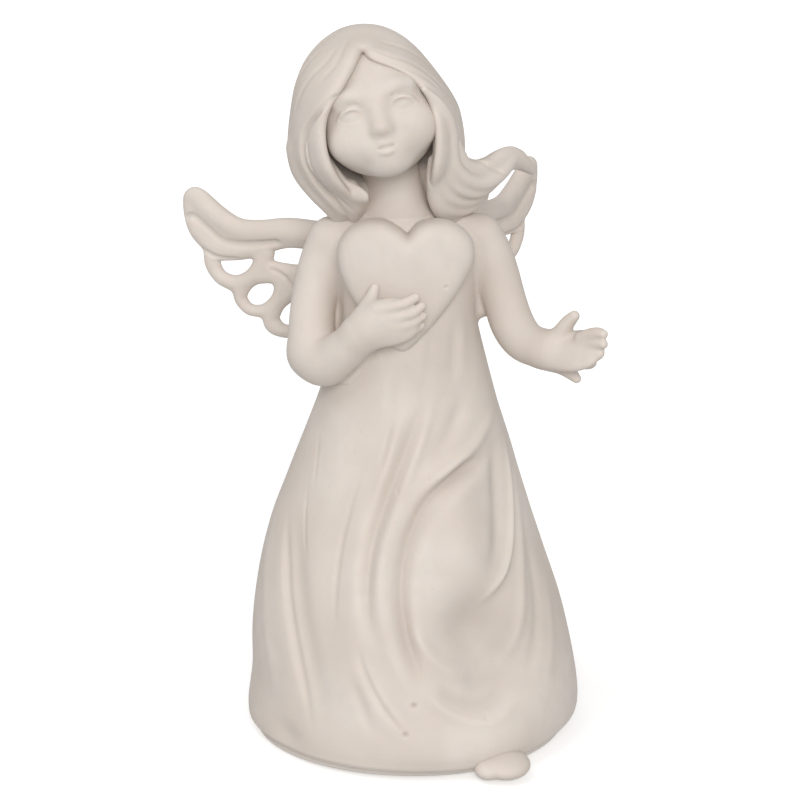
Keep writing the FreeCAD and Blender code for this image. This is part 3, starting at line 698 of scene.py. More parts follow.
# broad swells: angle, height, half width in degrees, half height, amount, tilt of the long axis (degrees of angle per mm)
SWELLS = [
    (-62.5, 58.0, 18.0, 14.5, 3.3, -0.12),     # knee under the cloth
    (-66.0, 66.0, 13.0, 9.0, 0.9, 0.0),
    (-62.0, 36.5, 16.0, 8.6, -5.4, 0.2),       # cloth falling in under the knee
    (-57.0, 26.5, 15.0, 7.4, -4.9, 0.0),
    (-63.0, 21.0, 11.5, 4.6, -1.5, 0.0),
    (-62.0, 8.5, 25.0, 7.5, 2.5, 0.0),         # hem carried out over the foot
    (-121.0, 46.0, 9.0, 26.0, -0.9, 0.0),
    (-92.0, 15.0, 14.0, 9.0, 0.4, 0.0),
    (-139.0, 7.0, 7.0, 3.6, -1.1, 0.0),
    (-20.0, 12.0, 20.0, 9.0, 0.6, 0.0),
    (-160.0, 6.0, 14.0, 6.0, 0.5, 0.0),
]
# how far and how high the hem tucks under, round the circle
TUCK = [(-180, 1.9, 3.6), (-150, 1.3, 3.2), (-120, 1.2, 2.8), (-95, 1.4, 2.6), (-75, 1.5, 2.6), (-56, 1.7, 3.0), (-40, 1.7, 3.6), (-15, 1.9, 4.2), (20, 2.1, 4.2), (60, 2.1, 4.0), (100, 2.1, 4.0), (140, 2.1, 3.8), (180, 1.9, 3.6)]

TH = np.radians(np.concatenate([np.linspace(-175, 0, 268, endpoint=False), np.linspace(0, 185, 112, endpoint=False)]))
ZS = np.concatenate([np.linspace(1.0, 8.0, 18, endpoint=False), np.linspace(8.0, 100.0, 186, endpoint=False), np.linspace(100.0, 128.0, 36, endpoint=False), np.linspace(128.0, 134.0, 12)])


def gown_radius(th, z):
    """th, z: 2-D arrays. Radius about the gown's centre line with every fold."""
    cx, cy, r0 = gown_base(th, z)
    X, Y = cx + r0 * np.cos(th), cy + r0 * np.sin(th)
    disp = np.zeros_like(r0)
    for nm, path, bumps, fade in FOLDS:
        d = spline(path, 8)
        for _ in range(14):
            d[1:-1] = 0.25 * d[:-2] + 0.5 * d[1:-1] + 0.25 * d[2:]
        pt, pz = np.radians(d[:, 0]), d[:, 1]
        pcx, pcy, pr = gown_base(pt, pz)
        P = np.stack([pcx + pr * np.cos(pt), pcy + pr * np.sin(pt), pz], 1)
        # outward normal along the path, for the sign of the offset
        best = np.full(r0.shape, 1e9)
        side = np.zeros(r0.shape)
        along = np.zeros(r0.shape)
        reach = max(abs(o) + 3.2 * w for o, w, a in bumps)
        near = (z > P[:, 2].min() - reach) & (z < P[:, 2].max() + reach)
        rows = np.flatnonzero(near.any(1))
        if len(rows) == 0:
            continue
        sl = slice(rows[0], rows[-1] + 1)
        x, y, zz = X[sl], Y[sl], z[sl]
        bb, ss, aa = best[sl], side[sl], along[sl]
        n = len(P) - 1
        for k in range(n):
            a, b = P[k], P[k + 1]
            e = b - a
            L2 = e @ e + 1e-12
            wx, wy, wz = x - a[0], y - a[1], zz - a[2]
            t = (wx * e[0] + wy * e[1] + wz * e[2]) / L2
            tc = np.clip(t, 0, 1)
            dx, dy, dz = wx - tc * e[0], wy - tc * e[1], wz - tc * e[2]
            d2 = dx * dx + dy * dy + dz * dz
            m = d2 < bb
            ang = math.atan2(a[1] + b[1] - pcy[k] - pcy[k + 1], a[0] + b[0] - pcx[k] - pcx[k + 1])
            nx, ny = math.cos(ang), math.sin(ang)
            # side vector = e x outward, positive to the viewer's right when the path runs down
            sx, sy, sz = e[1] * 0 - e[2] * ny, e[2] * nx - e[0] * 0, e[0] * ny - e[1] * nx
            s = np.sign(dx * sx + dy * sy + dz * sz)
            bb[m] = d2[m]
            ss[m] = s[m] if s.shape == m.shape else s
            aa[m] = ((k + tc) / n)[m]
        dist = np.sqrt(bb) * ss
        f = np.clip(np.minimum(aa, 1 - aa) / fade, 0, 1)
        f = f * f * (3 - 2 * f)
        add = np.zeros_like(dist)
        for off, w, amp in bumps:
            add += amp * np.exp(-((dist - off) / w) ** 2)
        disp[sl] += add * f
    deg = np.degrees(th)
    for a0, z0, wa, wz, amp, tilt in SWELLS:
        da = (deg - a0 - tilt * (z - z0) + 180) % 360 - 180
        q = np.sqrt((da / wa) ** 2 + ((z - z0) / wz) ** 2)
        disp += amp * np.where(q < 2.2, np.exp(-q * q * 1.15), 0)
    tk = spline(TUCK, 6)
    dd = (deg + 180) % 360 - 180
    tin, th_ = np.interp(dd, tk[:, 0], tk[:, 1]), np.interp(dd, tk[:, 0], tk[:, 2])
    q = np.clip((th_ - (z - 1.0)) / 2.4, 0, 1)
    disp -= tin * q * q * (3 - 2 * q)
    # slow hand-made unevenness
    for k, (na, nz, amp, ph) in enumerate([(3, 0.012, 0.14, 0.4), (5, -0.02, 0.10, 1.9), (9, 0.016, 0.07, 3.1)]):
        disp += amp * np.sin(na * th + nz * 6.28 * z + ph) * step((z - 2) / 8) * step((128 - z) / 10)
    return cx, cy, r0 + disp


PINHOLES = [(-76.9, 73.3, 0.42), (-93.7, 70.0, 0.48), (-122.8, 82.9, 0.3), (-89.5, 19.8, 0.75), (-92.8, 12.8, 0.7), (-63.6, 15.2, 0.5), (-131.0, 58.0, 0.22), (-50.0, 9.0, 0.25), (60.0, 40.0, 0.4), (118.0, 66.0, 0.35)]

tt, zz = np.meshgrid(TH, ZS)
GCX, GCY, GR = gown_radius(tt, zz)
gx, gy = GCX + GR * np.cos(tt), GCY + GR * np.sin(tt)
for a, z0, r in PINHOLES:
    c, d, rr = gown_base(np.radians(a), z0)
    hx, hy = c + rr * math.cos(math.radians(a)), d + rr * math.sin(math.radians(a))
    q = np.sqrt(((np.degrees(tt) - a + 180) % 360 - 180) ** 2 * (math.pi / 180 * rr) ** 2 + (zz - z0) ** 2)
    dent = r * 0.9 * np.exp(-(q / (r * 0.9)) ** 4)
    gx -= dent * np.cos(tt)
    gy -= dent * np.sin(tt)

# grid read back by the arm and heart fields
GT = np.radians(np.linspace(-180, 180, 721))
GZ = np.linspace(80.0, 134.0, 180)
gtt, gzz = np.meshgrid(GT, GZ)
LCX, LCY, LR = gown_radius(gtt, gzz)


def gown_distance(x, y, z):
    """Approximate distance to the finished gown surface for z above 80."""
    zc = np.clip(z, 80.0, 133.99)
    cx, cy = np.interp(zc, GZ, LCX[:, 0]), np.interp(zc, GZ, LCY[:, 0])
    X, Y = x - cx, y - cy
    rho = np.sqrt(X * X + Y * Y)
    ang = np.arctan2(Y, X)
    u = (ang + math.pi) / (2 * math.pi) * 720
    v = (zc - 80.0) / (134.0 - 80.0) * 179
    i, j = np.minimum(u.astype(int), 719), np.minimum(v.astype(int), 178)
    a, b = u - i, v - j
    r = (LR[j, i] * (1 - a) + LR[j, i + 1] * a) * (1 - b) + (LR[j + 1, i] * (1 - a) + LR[j + 1, i + 1] * a) * b
    slope = np.gradient(LR.mean(1), GZ)
    cosf = 1.0 / np.sqrt(1 + np.interp(zc, GZ, slope) ** 2)
    return np.maximum((rho - r) * cosf, z - 134.0)


nz, nt_ = gx.shape
pts = np.stack([gx, gy, zz], -1).reshape(-1, 3)
quads = []
ii = np.arange(nt_)
jj = (ii + 1) % nt_
for k in range(nz - 1):
    quads.append(np.stack([k * nt_ + ii, k * nt_ + jj, (k + 1) * nt_ + jj, (k + 1) * nt_ + ii], 1))
# neck seat cap, and the underside with its stopper pocket
extra = []
rings = []


def add_ring(radius, z, share=None):
    base_idx = len(pts) + sum(len(e) for e in extra)
    if share is None:
        e = np.stack([radius * np.cos(TH), radius * np.sin(TH), np.full(nt_, z)], 1)
    else:
        e = share
    extra.append(e)
    return base_idx


top = pts[(nz - 1) * nt_:]
ctop = top.mean(0)
prev = (nz - 1) * nt_
for q, dz in ((0.93, 0.25), (0.7, 0.4), (0.35, 0.4)):
    e = ctop + (top - ctop) * q
    e[:, 2] = 134.0 + dz
    b = add_ring(0, 0, e)
    quads.append(np.stack([prev + ii, prev + jj, b + jj, b + ii], 1))
    prev = b
# a flat ring is closed by strips from side to side
half = np.arange(nt_ // 2 - 1)
strip = np.stack([half, half + 1, nt_ - 2 - half, nt_ - 1 - half], 1)
quads.append(prev + strip)
prev = 0
low = pts[:nt_]
for radius, z in ((None, 1.0), (11.7, 1.0), (11.7, 2.75), (9.2, 2.75), (9.2, 6.0), (10.6, 6.0), (10.6, 10.0)):
    if radius is None:
        e = low * np.array([0.9, 0.9, 1.0])
        b = add_ring(0, 0, e)
    else:
        b = add_ring(radius, z)
    quads.append(np.stack([prev + jj, prev + ii, b + ii, b + jj], 1))
    prev = b
quads.append(prev + strip[:, ::-1])
gpts = np.vstack([pts] + extra)
def painted_hollow_shade(p):
    """Painted shade in the broad hollows, added to the cavity attribute: (x, z, half width, half height, amount) on the
    front.
    """
    out = np.zeros(len(p))
    for cx, cz, wx, wz, am in ((17.0, 37.5, 8.5, 6.0, 0.17), (23.0, 30.0, 8.0, 8.0, 0.17), (21.0, 21.5, 8.0, 4.0, 0.14), (7.0, 99.0, 9.0, 8.0, 0.09),
                               (-17.0, 45.0, 7.0, 26.0, 0.075), (-3.0, 30.0, 5.0, 16.0, 0.05), (16.0, 78.0, 2.4, 5.0, 0.03), (24.0, 66.0, 3.0, 13.0, 0.05)):
        out += am * np.exp(-((p[:, 0] - cx) / wx) ** 2 - ((p[:, 2] - cz) / wz) ** 2) * (p[:, 1] < -2.0)
    return out


# the gown's cavity attribute also carries painted shade in its broad hollows
build("gown", gpts, np.vstack(quads), "dress_body", RESIN, clean=False, shade=painted_hollow_shade)

# ---- head -----------------------------------------------------------------------------------
HEAD_C = np.array([-8.2, -3.4, 159.4])
HEAD_R = rot("Y", -15.0) @ rot("X", -14.0) @ rot("Z", 4.0)


def to_head(p):
    return (np.asarray(p, float) - HEAD_C) @ HEAD_R


def from_head(p):
    return np.asarray(p, float) @ HEAD_R.T + HEAD_C


def both(f, rows, **kw):
    """The same stroke on the figure's left and right."""
    f.tube(rows, **kw)
    f.tube([(-r[0],) + tuple(r[1:]) for r in rows], **kw)


h = Field((-17.5, -21.5, -31.0), (23.0, 19.5, 20.5), 0.32)
h.blob((0, 0.8, 2.4), (15.6, 16.8, 15.0), k=1.0)
h.blob((0, -3.8, -4.0), (12.7, 12.6, 11.3), k=4.0)
h.blob((0, -11.4, -12.2), (4.4, 3.7, 3.0), k=5.0)                  # chin
for s in (-1, 1):
    h.blob((s * 7.6, -10.2, -5.6), (5.4, 5.0, 4.9), k=3.5)         # cheek
    h.blob((s * 6.0, -17.7, 0.8), (4.2, 2.2, 2.4), k=3.2, cut=True)    # eye socket
    h.blob((s * 6.0, -11.6, 0.3), (3.7, 3.7, 3.3), k=0.4)          # eyeball
both(h, [(3.6, -14.6, 4.4, 0.8), (6.0, -14.9, 5.0, 0.85), (8.8, -13.5, 4.5, 0.7)], k=4.0)       # brow
both(h, [(3.2, -14.2, -0.2, 0.3), (4.2, -15.1, 1.3, 0.42), (6.1, -15.6, 1.9, 0.46), (8.2, -14.8, 1.3, 0.42), (9.6, -13.4, -0.1, 0.3)], k=0.5)   # upper lid
both(h, [(3.3, -14.2, -0.3, 0.25), (4.7, -14.9, -1.4, 0.3), (6.3, -15.1, -1.75, 0.32), (8.0, -14.4, -1.4, 0.3), (9.5, -13.3, -0.3, 0.25)], k=0.5)  # lower lid
both(h, [(4.2, -15.9, 2.6, 0.18), (6.1, -16.3, 3.1, 0.2), (8.4, -15.3, 2.5, 0.18)], k=0.5, cut=True)                 # lid fold
h.tube([(0, -14.2, 2.2, 0.9), (0, -15.2, 0.2, 1.0), (0, -16.3, -2.0, 1.15), (0, -17.1, -3.7, 1.35)], k=3.2)            # nose
h.blob((0, -17.3, -4.2), (1.6, 1.4, 1.3), k=1.6)
for s in (-1, 1):
    h.blob((s * 1.6, -16.1, -4.6), (1.05, 1.3, 0.9), k=1.2)
    h.blob((s * 0.85, -16.9, -5.6), (0.4, 0.6, 0.3), k=0.7, cut=True)
h.blob((0, -13.8, -8.3), (4.4, 2.4, 3.0), k=3.0)                                                                      # muzzle
both(h, [(3.1, -14.7, -8.5, 0.3), (2.0, -15.9, -8.05, 0.52), (0.85, -16.6, -7.7, 0.68), (0, -16.5, -7.9, 0.6)], k=0.5)  # upper lip
h.tube([(-2.7, -14.9, -9.1, 0.42), (-1.35, -16.0, -9.7, 0.8), (0, -16.35, -9.9, 0.92), (1.35, -16.0, -9.7, 0.8), (2.7, -14.9, -9.1, 0.42)], k=0.5)
h.tube([(-3.1, -15.1, -8.7, 0.12), (-1.5, -16.5, -8.8, 0.2), (0, -17.0, -8.85, 0.22), (1.5, -16.5, -8.8, 0.2), (3.1, -15.1, -8.7, 0.12)], k=0.35, cut=True)
neck = to_head([(-3.2, -0.2, 133.2), (-3.4, -0.3, 137.0), (-4.4, -0.2, 142.0), (-5.8, -0.4, 148.0), (-6.6, 0.0, 153.0)])
h.tube([tuple(p) + (r,) for p, r in zip(neck, (8.6, 7.4, 6.9, 7.1, 7.4))], k=3.0)
x, y, z = h.whole()
wx, wy, wz = [x * HEAD_R[c, 0] + y * HEAD_R[c, 1] + z * HEAD_R[c, 2] + HEAD_C[c] for c in range(3)]
gd = gown_distance(wx, wy, wz).astype(np.float32)
hn = h.f.copy()
h.f = smin(h.f, gd + 0.05, 4.0).astype(np.float32)
h.keep((-gd - 0.9).astype(np.float32), 0.2)
h.keep(hn - 3.4, 0.3)
hp, hf = h.mesh()
hp = relax(hp, hf, 1, 0.4)
build("head", hp, hf, "head", RESIN, mm_to_frame=lambda p: place(from_head(p)))
HEAD_FIELD = h

# ---- hair -----------------------------------------------------------------------------------
HS = 0.376
a = Field((-31.5, -22.5, 124.0), (33.0, 23.5, 182.5), HS)
# outline by height: z, centre x, centre y, half width, half depth, size squared
MASS = [(124.0, -4.0, 11.0, 21.5, 14.0, -0.10), (128.0, -4.4, 10.0, 21.5, 15.0, 0.08), (131.0, -5.6, 8.4, 21.5, 16.0, 0.22), (134.0, -7.0, 6.6, 21.5, 17.0, 0.42), (137.8, -7.6, 4.8, 21.5, 18.4, 0.64),
        (141.6, -7.9, 3.0, 21.5, 19.4, 0.83), (145.4, -8.2, 1.4, 21.5, 20.4, 0.955), (149.2, -8.4, 0.0, 21.5, 21.2, 1.0), (153.0, -8.5, -0.8, 21.5, 21.6, 0.995), (156.8, -8.6, -1.3, 21.5, 22.0, 0.955),
        (160.6, -8.8, -1.6, 21.5, 22.2, 0.885), (164.3, -9.5, -1.8, 21.5, 22.4, 0.775), (167.9, -10.2, -1.8, 21.5, 22.6, 0.635), (171.6, -10.8, -1.4, 21.5, 22.6, 0.475), (175.3, -11.0, -0.6, 21.5, 22.0, 0.29),
        (178.2, -11.2, 0.8, 21.5, 20.6, 0.115), (180.0, -11.2, 1.0, 21.5, 20.6, 0.0), (183.0, -11.2, 1.0, 21.5, 20.6, -0.2)]
x, y, z = a.whole()
M = spline(MASS, 8)
mz = a.ax[2]
cx, cy, rx, ry, sz = [np.interp(mz, M[:, 0], M[:, i])[None, None, :] for i in (1, 2, 3, 4, 5)]
a.f = (((x - cx) / rx) ** 2 + ((y - cy) / ry) ** 2 - sz).astype(np.float32) * 10
a.even()
HAIR_C = (-8.4, 1.2, 156.0)

# opening over the face: outline on the plane y = -14, carried along the line of sight
EYE = (-2.7, -760.8, 332.8)
OPEN_L = [(-11.5, 176.6), (-13.1, 173.1), (-14.5, 170.4), (-16.4, 167.1), (-18.4, 164.1), (-19.7, 161.1), (-20.3, 157.6), (-20.1, 153.7), (-19.2, 150.1), (-17.5, 146.6), (-15.3, 143.6), (-13.3, 141.0), (-12.0, 138.4), (-12.0, 134.0), (-13.5, 127.0)]
OPEN_R = [(-10.3, 174.9), (-7.7, 173.6), (-4.1, 172.2), (-0.6, 170.0), (2.3, 167.1), (4.2, 163.7), (5.3, 159.6), (5.6, 155.5), (5.4, 151.6), (4.8, 147.6), (4.3, 143.5), (4.4, 139.5), (5.5, 135.1), (8.0, 127.0)]
opening = Flat(OPEN_L + OPEN_R[::-1], h=0.3, per=3)
lx = (x - HEAD_C[0]) * HEAD_R[0, 0] + (y - HEAD_C[1]) * HEAD_R[1, 0] + (z - HEAD_C[2]) * HEAD_R[2, 0]
ly = (x - HEAD_C[0]) * HEAD_R[0, 1] + (y - HEAD_C[1]) * HEAD_R[1, 1] + (z - HEAD_C[2]) * HEAD_R[2, 1]
lz = (x - HEAD_C[0]) * HEAD_R[0, 2] + (y - HEAD_C[1]) * HEAD_R[1, 2] + (z - HEAD_C[2]) * HEAD_R[2, 2]
sight = (-14.0 - EYE[1]) / (y - EYE[1])
win = opening(EYE[0] + (x - EYE[0]) * sight + 0 * z, EYE[2] + (z - EYE[2]) * sight + 0 * x)
# the hair swells a little into a soft roll along the opening
front_side = 1 / (1 + np.exp((ly + 6.0) / 1.5))
a.f -= (0.9 * np.exp(-((win - 2.4) / 2.2) ** 2) * front_side).astype(np.float32)
a.keep(-np.maximum(win, ly + 4.5), 1.9)
# hollow beside the face
k0 = np.sqrt((lx / 15.6) ** 2 + ((ly + 1.0) / 14.6) ** 2 + ((lz + 2.5) / 16.5) ** 2)
a.keep(-((k0 - 1) * 15.0), 1.2)
a.tube([(-2.8, -8.0, 126.0, 7.6, 7.8), (-2.9, -7.0, 134.0, 8.0, 7.9), (-3.0, -7.0, 141.0, 8.0, 8.2), (-4.4, -8.0, 148.0, 8.0, 8.6)], k=1.8, cut=True, u=(0, 1, 0))
a.tube([(-17.6, -14.6, 165.6, 0.6), (-21.2, -13.6, 161.6, 1.2), (-23.6, -12.8, 157.0, 1.6), (-23.9, -12.0, 151.9, 1.8), (-21.6, -11.2, 147.0, 1.9), (-17.4, -9.6, 142.6, 1.7), (-15.2, -7.6, 138.6, 1.5), (-14.4, -4.6, 134.8, 1.2)], k=1.2)
a.tube([(-20.3, -11.0, 161.5, 0.7), (-21.4, -11.0, 156.4, 1.2), (-21.0, -10.8, 150.6, 1.5), (-18.2, -10.0, 145.6, 1.6), (-15.0, -8.8, 141.4, 1.4), (-13.3, -6.8, 138.0, 1.2), (-13.0, -4.2, 135.2, 0.8)], k=1.0)
a.tube([(-27.2, -5.0, 150.8, 2.5), (-26.0, -5.0, 145.4, 2.6), (-22.6, -4.6, 140.4, 2.6), (-19.8, -3.2, 136.6, 2.3), (-18.0, -1.0, 133.2, 1.8)], k=2.2)
a.tube([(-24.4, -8.6, 149.6, 1.8), (-22.4, -8.4, 144.4, 2.0), (-19.2, -7.2, 140.0, 2.0), (-17.2, -5.2, 136.6, 1.7), (-16.4, -2.4, 133.8, 1.3)], k=1.6)
a.tube([(-14.2, -9.6, 143.0, 1.2), (-13.2, -8.6, 140.4, 1.4), (-13.1, -7.0, 137.4, 1.4), (-13.4, -5.0, 134.6, 1.3), (-13.8, -3.0, 132.2, 1.1)], k=1.4)
# right side locks running into the one that flies out
a.tube([(3.0, -15.4, 167.9, 0.7), (6.3, -14.0, 164.3, 1.2), (8.5, -12.8, 160.2, 1.6), (9.5, -12.0, 156.0, 1.7), (9.6, -11.4, 151.6, 1.8), (10.6, -10.4, 147.6, 1.8), (13.0, -8.6, 144.5, 1.8), (16.3, -5.8, 142.6, 1.8), (19.8, -2.2, 142.4, 1.7), (22.8, 2.2, 143.6, 1.4), (24.8, 6.2, 145.2, 0.9)], k=0.9)
a.tube([(5.4, -12.4, 163.0, 0.7), (7.0, -12.0, 158.8, 1.2), (7.8, -11.6, 154.4, 1.5), (8.1, -11.0, 149.4, 1.6), (9.3, -9.8, 145.0, 1.7), (11.8, -8.0, 141.8, 1.7), (15.1, -5.4, 140.2, 1.6), (18.2, -2.2, 140.2, 1.4), (21.0, 1.6, 141.4, 1.0)], k=1.2)
a.tube([(4.9, -11.8, 160.0, 0.6), (6.2, -11.6, 155.8, 1.1), (6.6, -11.2, 151.2, 1.4), (6.5, -10.6, 146.8, 1.5), (7.4, -9.4, 142.8, 1.6), (9.6, -7.6, 139.6, 1.6), (12.8, -5.0, 137.9, 1.5), (16.2, -1.8, 138.0, 1.3), (19.0, 1.6, 139.2, 0.8)], k=1.3)
a.tube([(4.9, -10.4, 149.5, 0.7), (5.1, -9.8, 144.7, 1.2), (5.9, -8.6, 140.6, 1.5), (7.8, -6.8, 137.4, 1.7), (10.8, -4.4, 135.6, 1.8), (14.4, -1.4, 135.6, 1.6), (17.8, 2.0, 137.0, 1.1)], k=1.8)
a.tube([(5.0, -8.4, 143.5, 0.8), (5.6, -7.6, 138.9, 1.2), (7.0, -6.0, 135.2, 1.5), (9.4, -3.6, 133.2, 1.3), (12.2, -1.0, 132.6, 0.8)], k=2.0)
# the flying lock: three ribbons that turn over at the end
a.tube([(9.0, -3.0, 148.0, 2.8), (12.4, -2.4, 145.2, 3.2), (15.8, -0.8, 143.6, 3.5), (19.2, 2.2, 143.9, 3.4), (22.2, 6.0, 145.0, 3.1), (25.2, 9.8, 144.8, 2.7), (27.8, 13.0, 142.9, 2.0), (29.9, 15.8, 140.4, 1.1)], k=1.3)
a.tube([(10.8, -8.0, 152.0, 1.6), (12.6, -6.6, 147.6, 1.9), (15.6, -3.8, 145.6, 2.0), (19.0, 0.2, 145.6, 1.9), (21.8, 4.2, 146.9, 1.6), (24.6, 8.2, 147.0, 1.3), (27.0, 11.6, 145.4, 0.9)], k=0.8)
a.tube([(19.0, 3.0, 144.4, 1.2), (22.6, 7.0, 144.8, 1.3), (25.6, 10.6, 143.8, 1.2), (28.0, 13.4, 142.0, 0.9), (29.4, 15.4, 140.6, 0.5)], k=0.8)
a.tube([(20.2, 0.2, 141.9, 0.7), (22.8, 3.2, 143.2, 0.7), (24.8, 6.6, 143.6, 0.45)], k=0.6)
# strand lines
for rows, wd, dp in [
        ([(-17.3, -18.0, 166.6), (-21.6, -16.0, 161.4), (-24.5, -13.0, 156.1), (-24.4, -12.0, 150.9), (-22.0, -11.0, 145.3), (-18.4, -9.0, 139.8), (-16.5, -7.0, 134.9)], 0.85, 1.15),
        ([(-19.6, -15.0, 161.6), (-22.2, -13.0, 156.9), (-22.7, -13.0, 152.7), (-21.0, -12.0, 147.1), (-17.6, -10.0, 142.0), (-14.2, -8.0, 137.2)], 0.6, 0.75),
        ([(-19.3, -10.0, 178.3), (-21.6, -12.0, 174.1), (-24.4, -10.0, 167.4), (-25.9, -8.0, 161.1)], 0.9, 0.13),
        ([(-15.8, -8.0, 179.3), (-18.2, -14.0, 174.6), (-20.6, -14.0, 169.3)], 0.8, 0.08),
        ([(-22.3, -6.0, 175.3), (-25.4, -5.0, 169.0), (-27.5, -4.0, 161.5), (-28.0, -3.0, 152.0)], 0.9, 0.12),
        ([(-8.1, -14.0, 179.1), (-3.9, -14.0, 177.2), (0.4, -12.0, 174.9), (4.9, -9.0, 169.9), (9.3, -5.0, 163.4)], 0.8, 0.12),
        ([(-6.3, -8.0, 179.1), (-0.3, -7.0, 177.0), (4.5, -4.0, 172.0), (8.8, -2.0, 166.0)], 0.8, 0.08),
        ([(-9.3, -15.0, 177.7), (-3.9, -16.0, 175.9), (2.0, -14.0, 172.8), (6.8, -11.0, 168.3)], 0.8, 0.1),
        ([(-10.6, 4.0, 180.6), (-10.0, 12.0, 177.0), (-9.4, 18.0, 170.0)], 0.6, 0.35),
        ([(10.0, -4.0, 161.0), (12.0, -3.0, 155.0), (13.0, -2.6, 149.0), (15.6, 0.6, 146.0)], 0.5, 0.3),
        ([(-28.4, -1.0, 158.0), (-29.2, 0.0, 150.0), (-27.6, 1.0, 142.0), (-23.6, 3.0, 136.0)], 0.5, 0.35)]:
    a.groove(rows, HAIR_C, wd, dp)
# back strands fall from the parting to the nape
for k, az in enumerate(np.linspace(28, 152, 9)):
    t = np.linspace(0, 1, 6)
    ang = math.radians(az + (3.0 if k % 2 else -3.0))
    sway = np.radians(6.0 * np.sin(t * 5.0 + k))
    rr = np.interp(t, [0, 0.3, 0.7, 1.0], [6.0, 19.0, 22.0, 15.0])
    zz_ = np.interp(t, [0, 0.3, 0.7, 1.0], [179.5, 168.0, 148.0, 134.0])
    rows = [(HAIR_C[0] + r * math.cos(ang + s), 2.0 + r * math.sin(ang + s), q) for r, s, q in zip(rr, sway, zz_)]
    a.groove(rows, (HAIR_C[0], 3.0, 152.0), 0.55, 0.55 if k % 2 else 0.38)
for az in (8.0, 172.0, 190.0):
    t = np.linspace(0, 1, 5)
    rows = [(HAIR_C[0] + r * math.cos(math.radians(az)), 1.0 + r * math.sin(math.radians(az)), q) for r, q in zip((9, 18, 22, 21, 16), (178, 169, 157, 146, 136))]
    a.groove(rows, HAIR_C, 0.5, 0.4)
# a casting bubble by the parting
p = a.onto([(-13.6, -17.6, 172.4)], (-8.4, -2.0, 160.0))[0]
a.blob(p, 0.55, k=0.25, cut=True)
# sits on the shoulders without entering them
gd = gown_distance(x, y, z)
a.keep((-gd - 0.25).astype(np.float32), 0.4)
hp, hf = a.mesh()
hp = relax(hp, hf, 1, 0.4)
build("hair", hp, hf, "hair", RESIN)

# ---- heart -----------------------------------------------------------------------------------
HEART = [(-0.9, 131.4), (-3.2, 133.2), (-6.8, 134.9), (-11.0, 134.7), (-15.0, 132.6), (-17.5, 128.8), (-17.8, 124.4), (-16.3, 119.4), (-13.2, 113.7), (-8.6, 107.6),
         (-2.0, 102.6), (4.4, 108.2), (10.0, 115.2), (13.9, 121.6), (15.4, 126.2), (14.4, 130.4), (11.0, 133.6), (6.8, 134.9), (2.0, 134.2)]
heart2d = Flat(HEART, h=0.2)
hh = Field((-20.5, -20.5, 99.5), (18.5, -4.0, 138.5), 0.34)
x, y, z = hh.whole()
d2 = heart2d(x + 0 * y, z + 0 * y)
depth = np.clip(-d2, 0, 4.2) / 4.2
front = -15.3 + 2.3 * ((x + 1.2) / 16.5) ** 2 + 0.9 * np.clip((z - 124.0) / 10.0, 0, 1) ** 2 - 2.0 * np.sqrt(np.maximum(1 - (1 - depth) ** 2, 0)) - 0.5 * np.cos(np.clip(np.hypot(x + 1.2, z - 121.0) / 17.0, 0, 1) * math.pi / 2)
hh.f = np.maximum(front - y, y + 8.0).astype(np.float32)
hh.keep(d2.astype(np.float32), 2.2)
hh.even()
for c, r in (((8.4, -18.0, 119.6), 0.42), ((-4.6, -18.6, 119.5), 0.2)):
    q = hh.onto([c], (c[0], -10.0, c[2]))[0]
    hh.blob(q, r, k=0.25, cut=True)
hh.keep((-gown_distance(x, y, z) - 0.5).astype(np.float32), 0.4)
hp, hf = hh.mesh()
hp = relax(hp, hf, 2, 0.4)
build("heart", hp, hf, "heart", RESIN)


# ---- arms -------------------------------------------------------------------------------------
def weld_to_gown(f, limit, k=2.6, sink=0.9):
    """The shoulder flows into the gown; the piece ends just under the gown's surface."""
    x, y, z = f.whole()
    g = gown_distance(x, y, z).astype(np.float32)
    arm = f.f.copy()
    f.f = smin(arm, g + 0.05, k).astype(np.float32)
    f.keep((-g - sink).astype(np.float32), 0.2)
    f.keep(arm - limit, 0.3)
    return f


r = Field((-31.0, -26.5, 93.0), (8.0, 8.0, 136.5), 0.33)
r.tube([(-19.6, 0.8, 126.6, 5.6), (-21.8, 0.2, 121.0, 5.6), (-23.4, -1.4, 115.0, 5.4), (-24.3, -3.4, 109.0, 5.5), (-24.2, -6.2, 103.2, 5.7), (-22.4, -9.4, 99.8, 5.7), (-19.2, -12.6, 100.4, 5.5), (-15.8, -15.2, 103.6, 5.1), (-12.6, -17.2, 107.2, 4.6), (-10.4, -18.6, 109.6, 4.1)], k=1.0)
r.blob((-24.2, -7.2, 99.6), (6.0, 5.6, 5.8), k=3.0)
r.blob((-21.0, -10.6, 98.4), (5.3, 5.0, 5.1), k=3.0)
# hand laid on the heart
r.tube([(-12.0, -18.2, 108.8, 3.6, 4.6), (-9.0, -19.8, 110.6, 2.9, 5.5), (-5.8, -20.7, 111.9, 2.3, 5.9), (-3.6, -21.0, 112.4, 1.9, 5.6)], k=2.4, u=(0.15, -1.0, 0.1))
FING_R = [
    [(-8.0, -20.9, 115.2, 1.6), (-4.8, -21.7, 116.1, 1.45), (-1.8, -21.9, 116.9, 1.35), (1.0, -21.3, 118.3, 1.1)],
    [(-5.0, -21.5, 113.4, 1.5), (-2.2, -22.1, 113.9, 1.4), (0.4, -22.1, 114.8, 1.35), (2.5, -21.4, 116.2, 1.1)],
    [(-4.8, -21.3, 110.9, 1.5), (-2.0, -21.9, 111.5, 1.4), (0.6, -21.8, 112.4, 1.3), (2.8, -21.0, 113.7, 1.05)],
    [(-5.0, -20.4, 108.5, 1.45), (-2.2, -21.1, 109.1, 1.35), (0.2, -21.0, 109.9, 1.25), (2.4, -20.2, 111.0, 1.0)]]
for rows in FING_R:
    r.tube(rows, k=0.45)
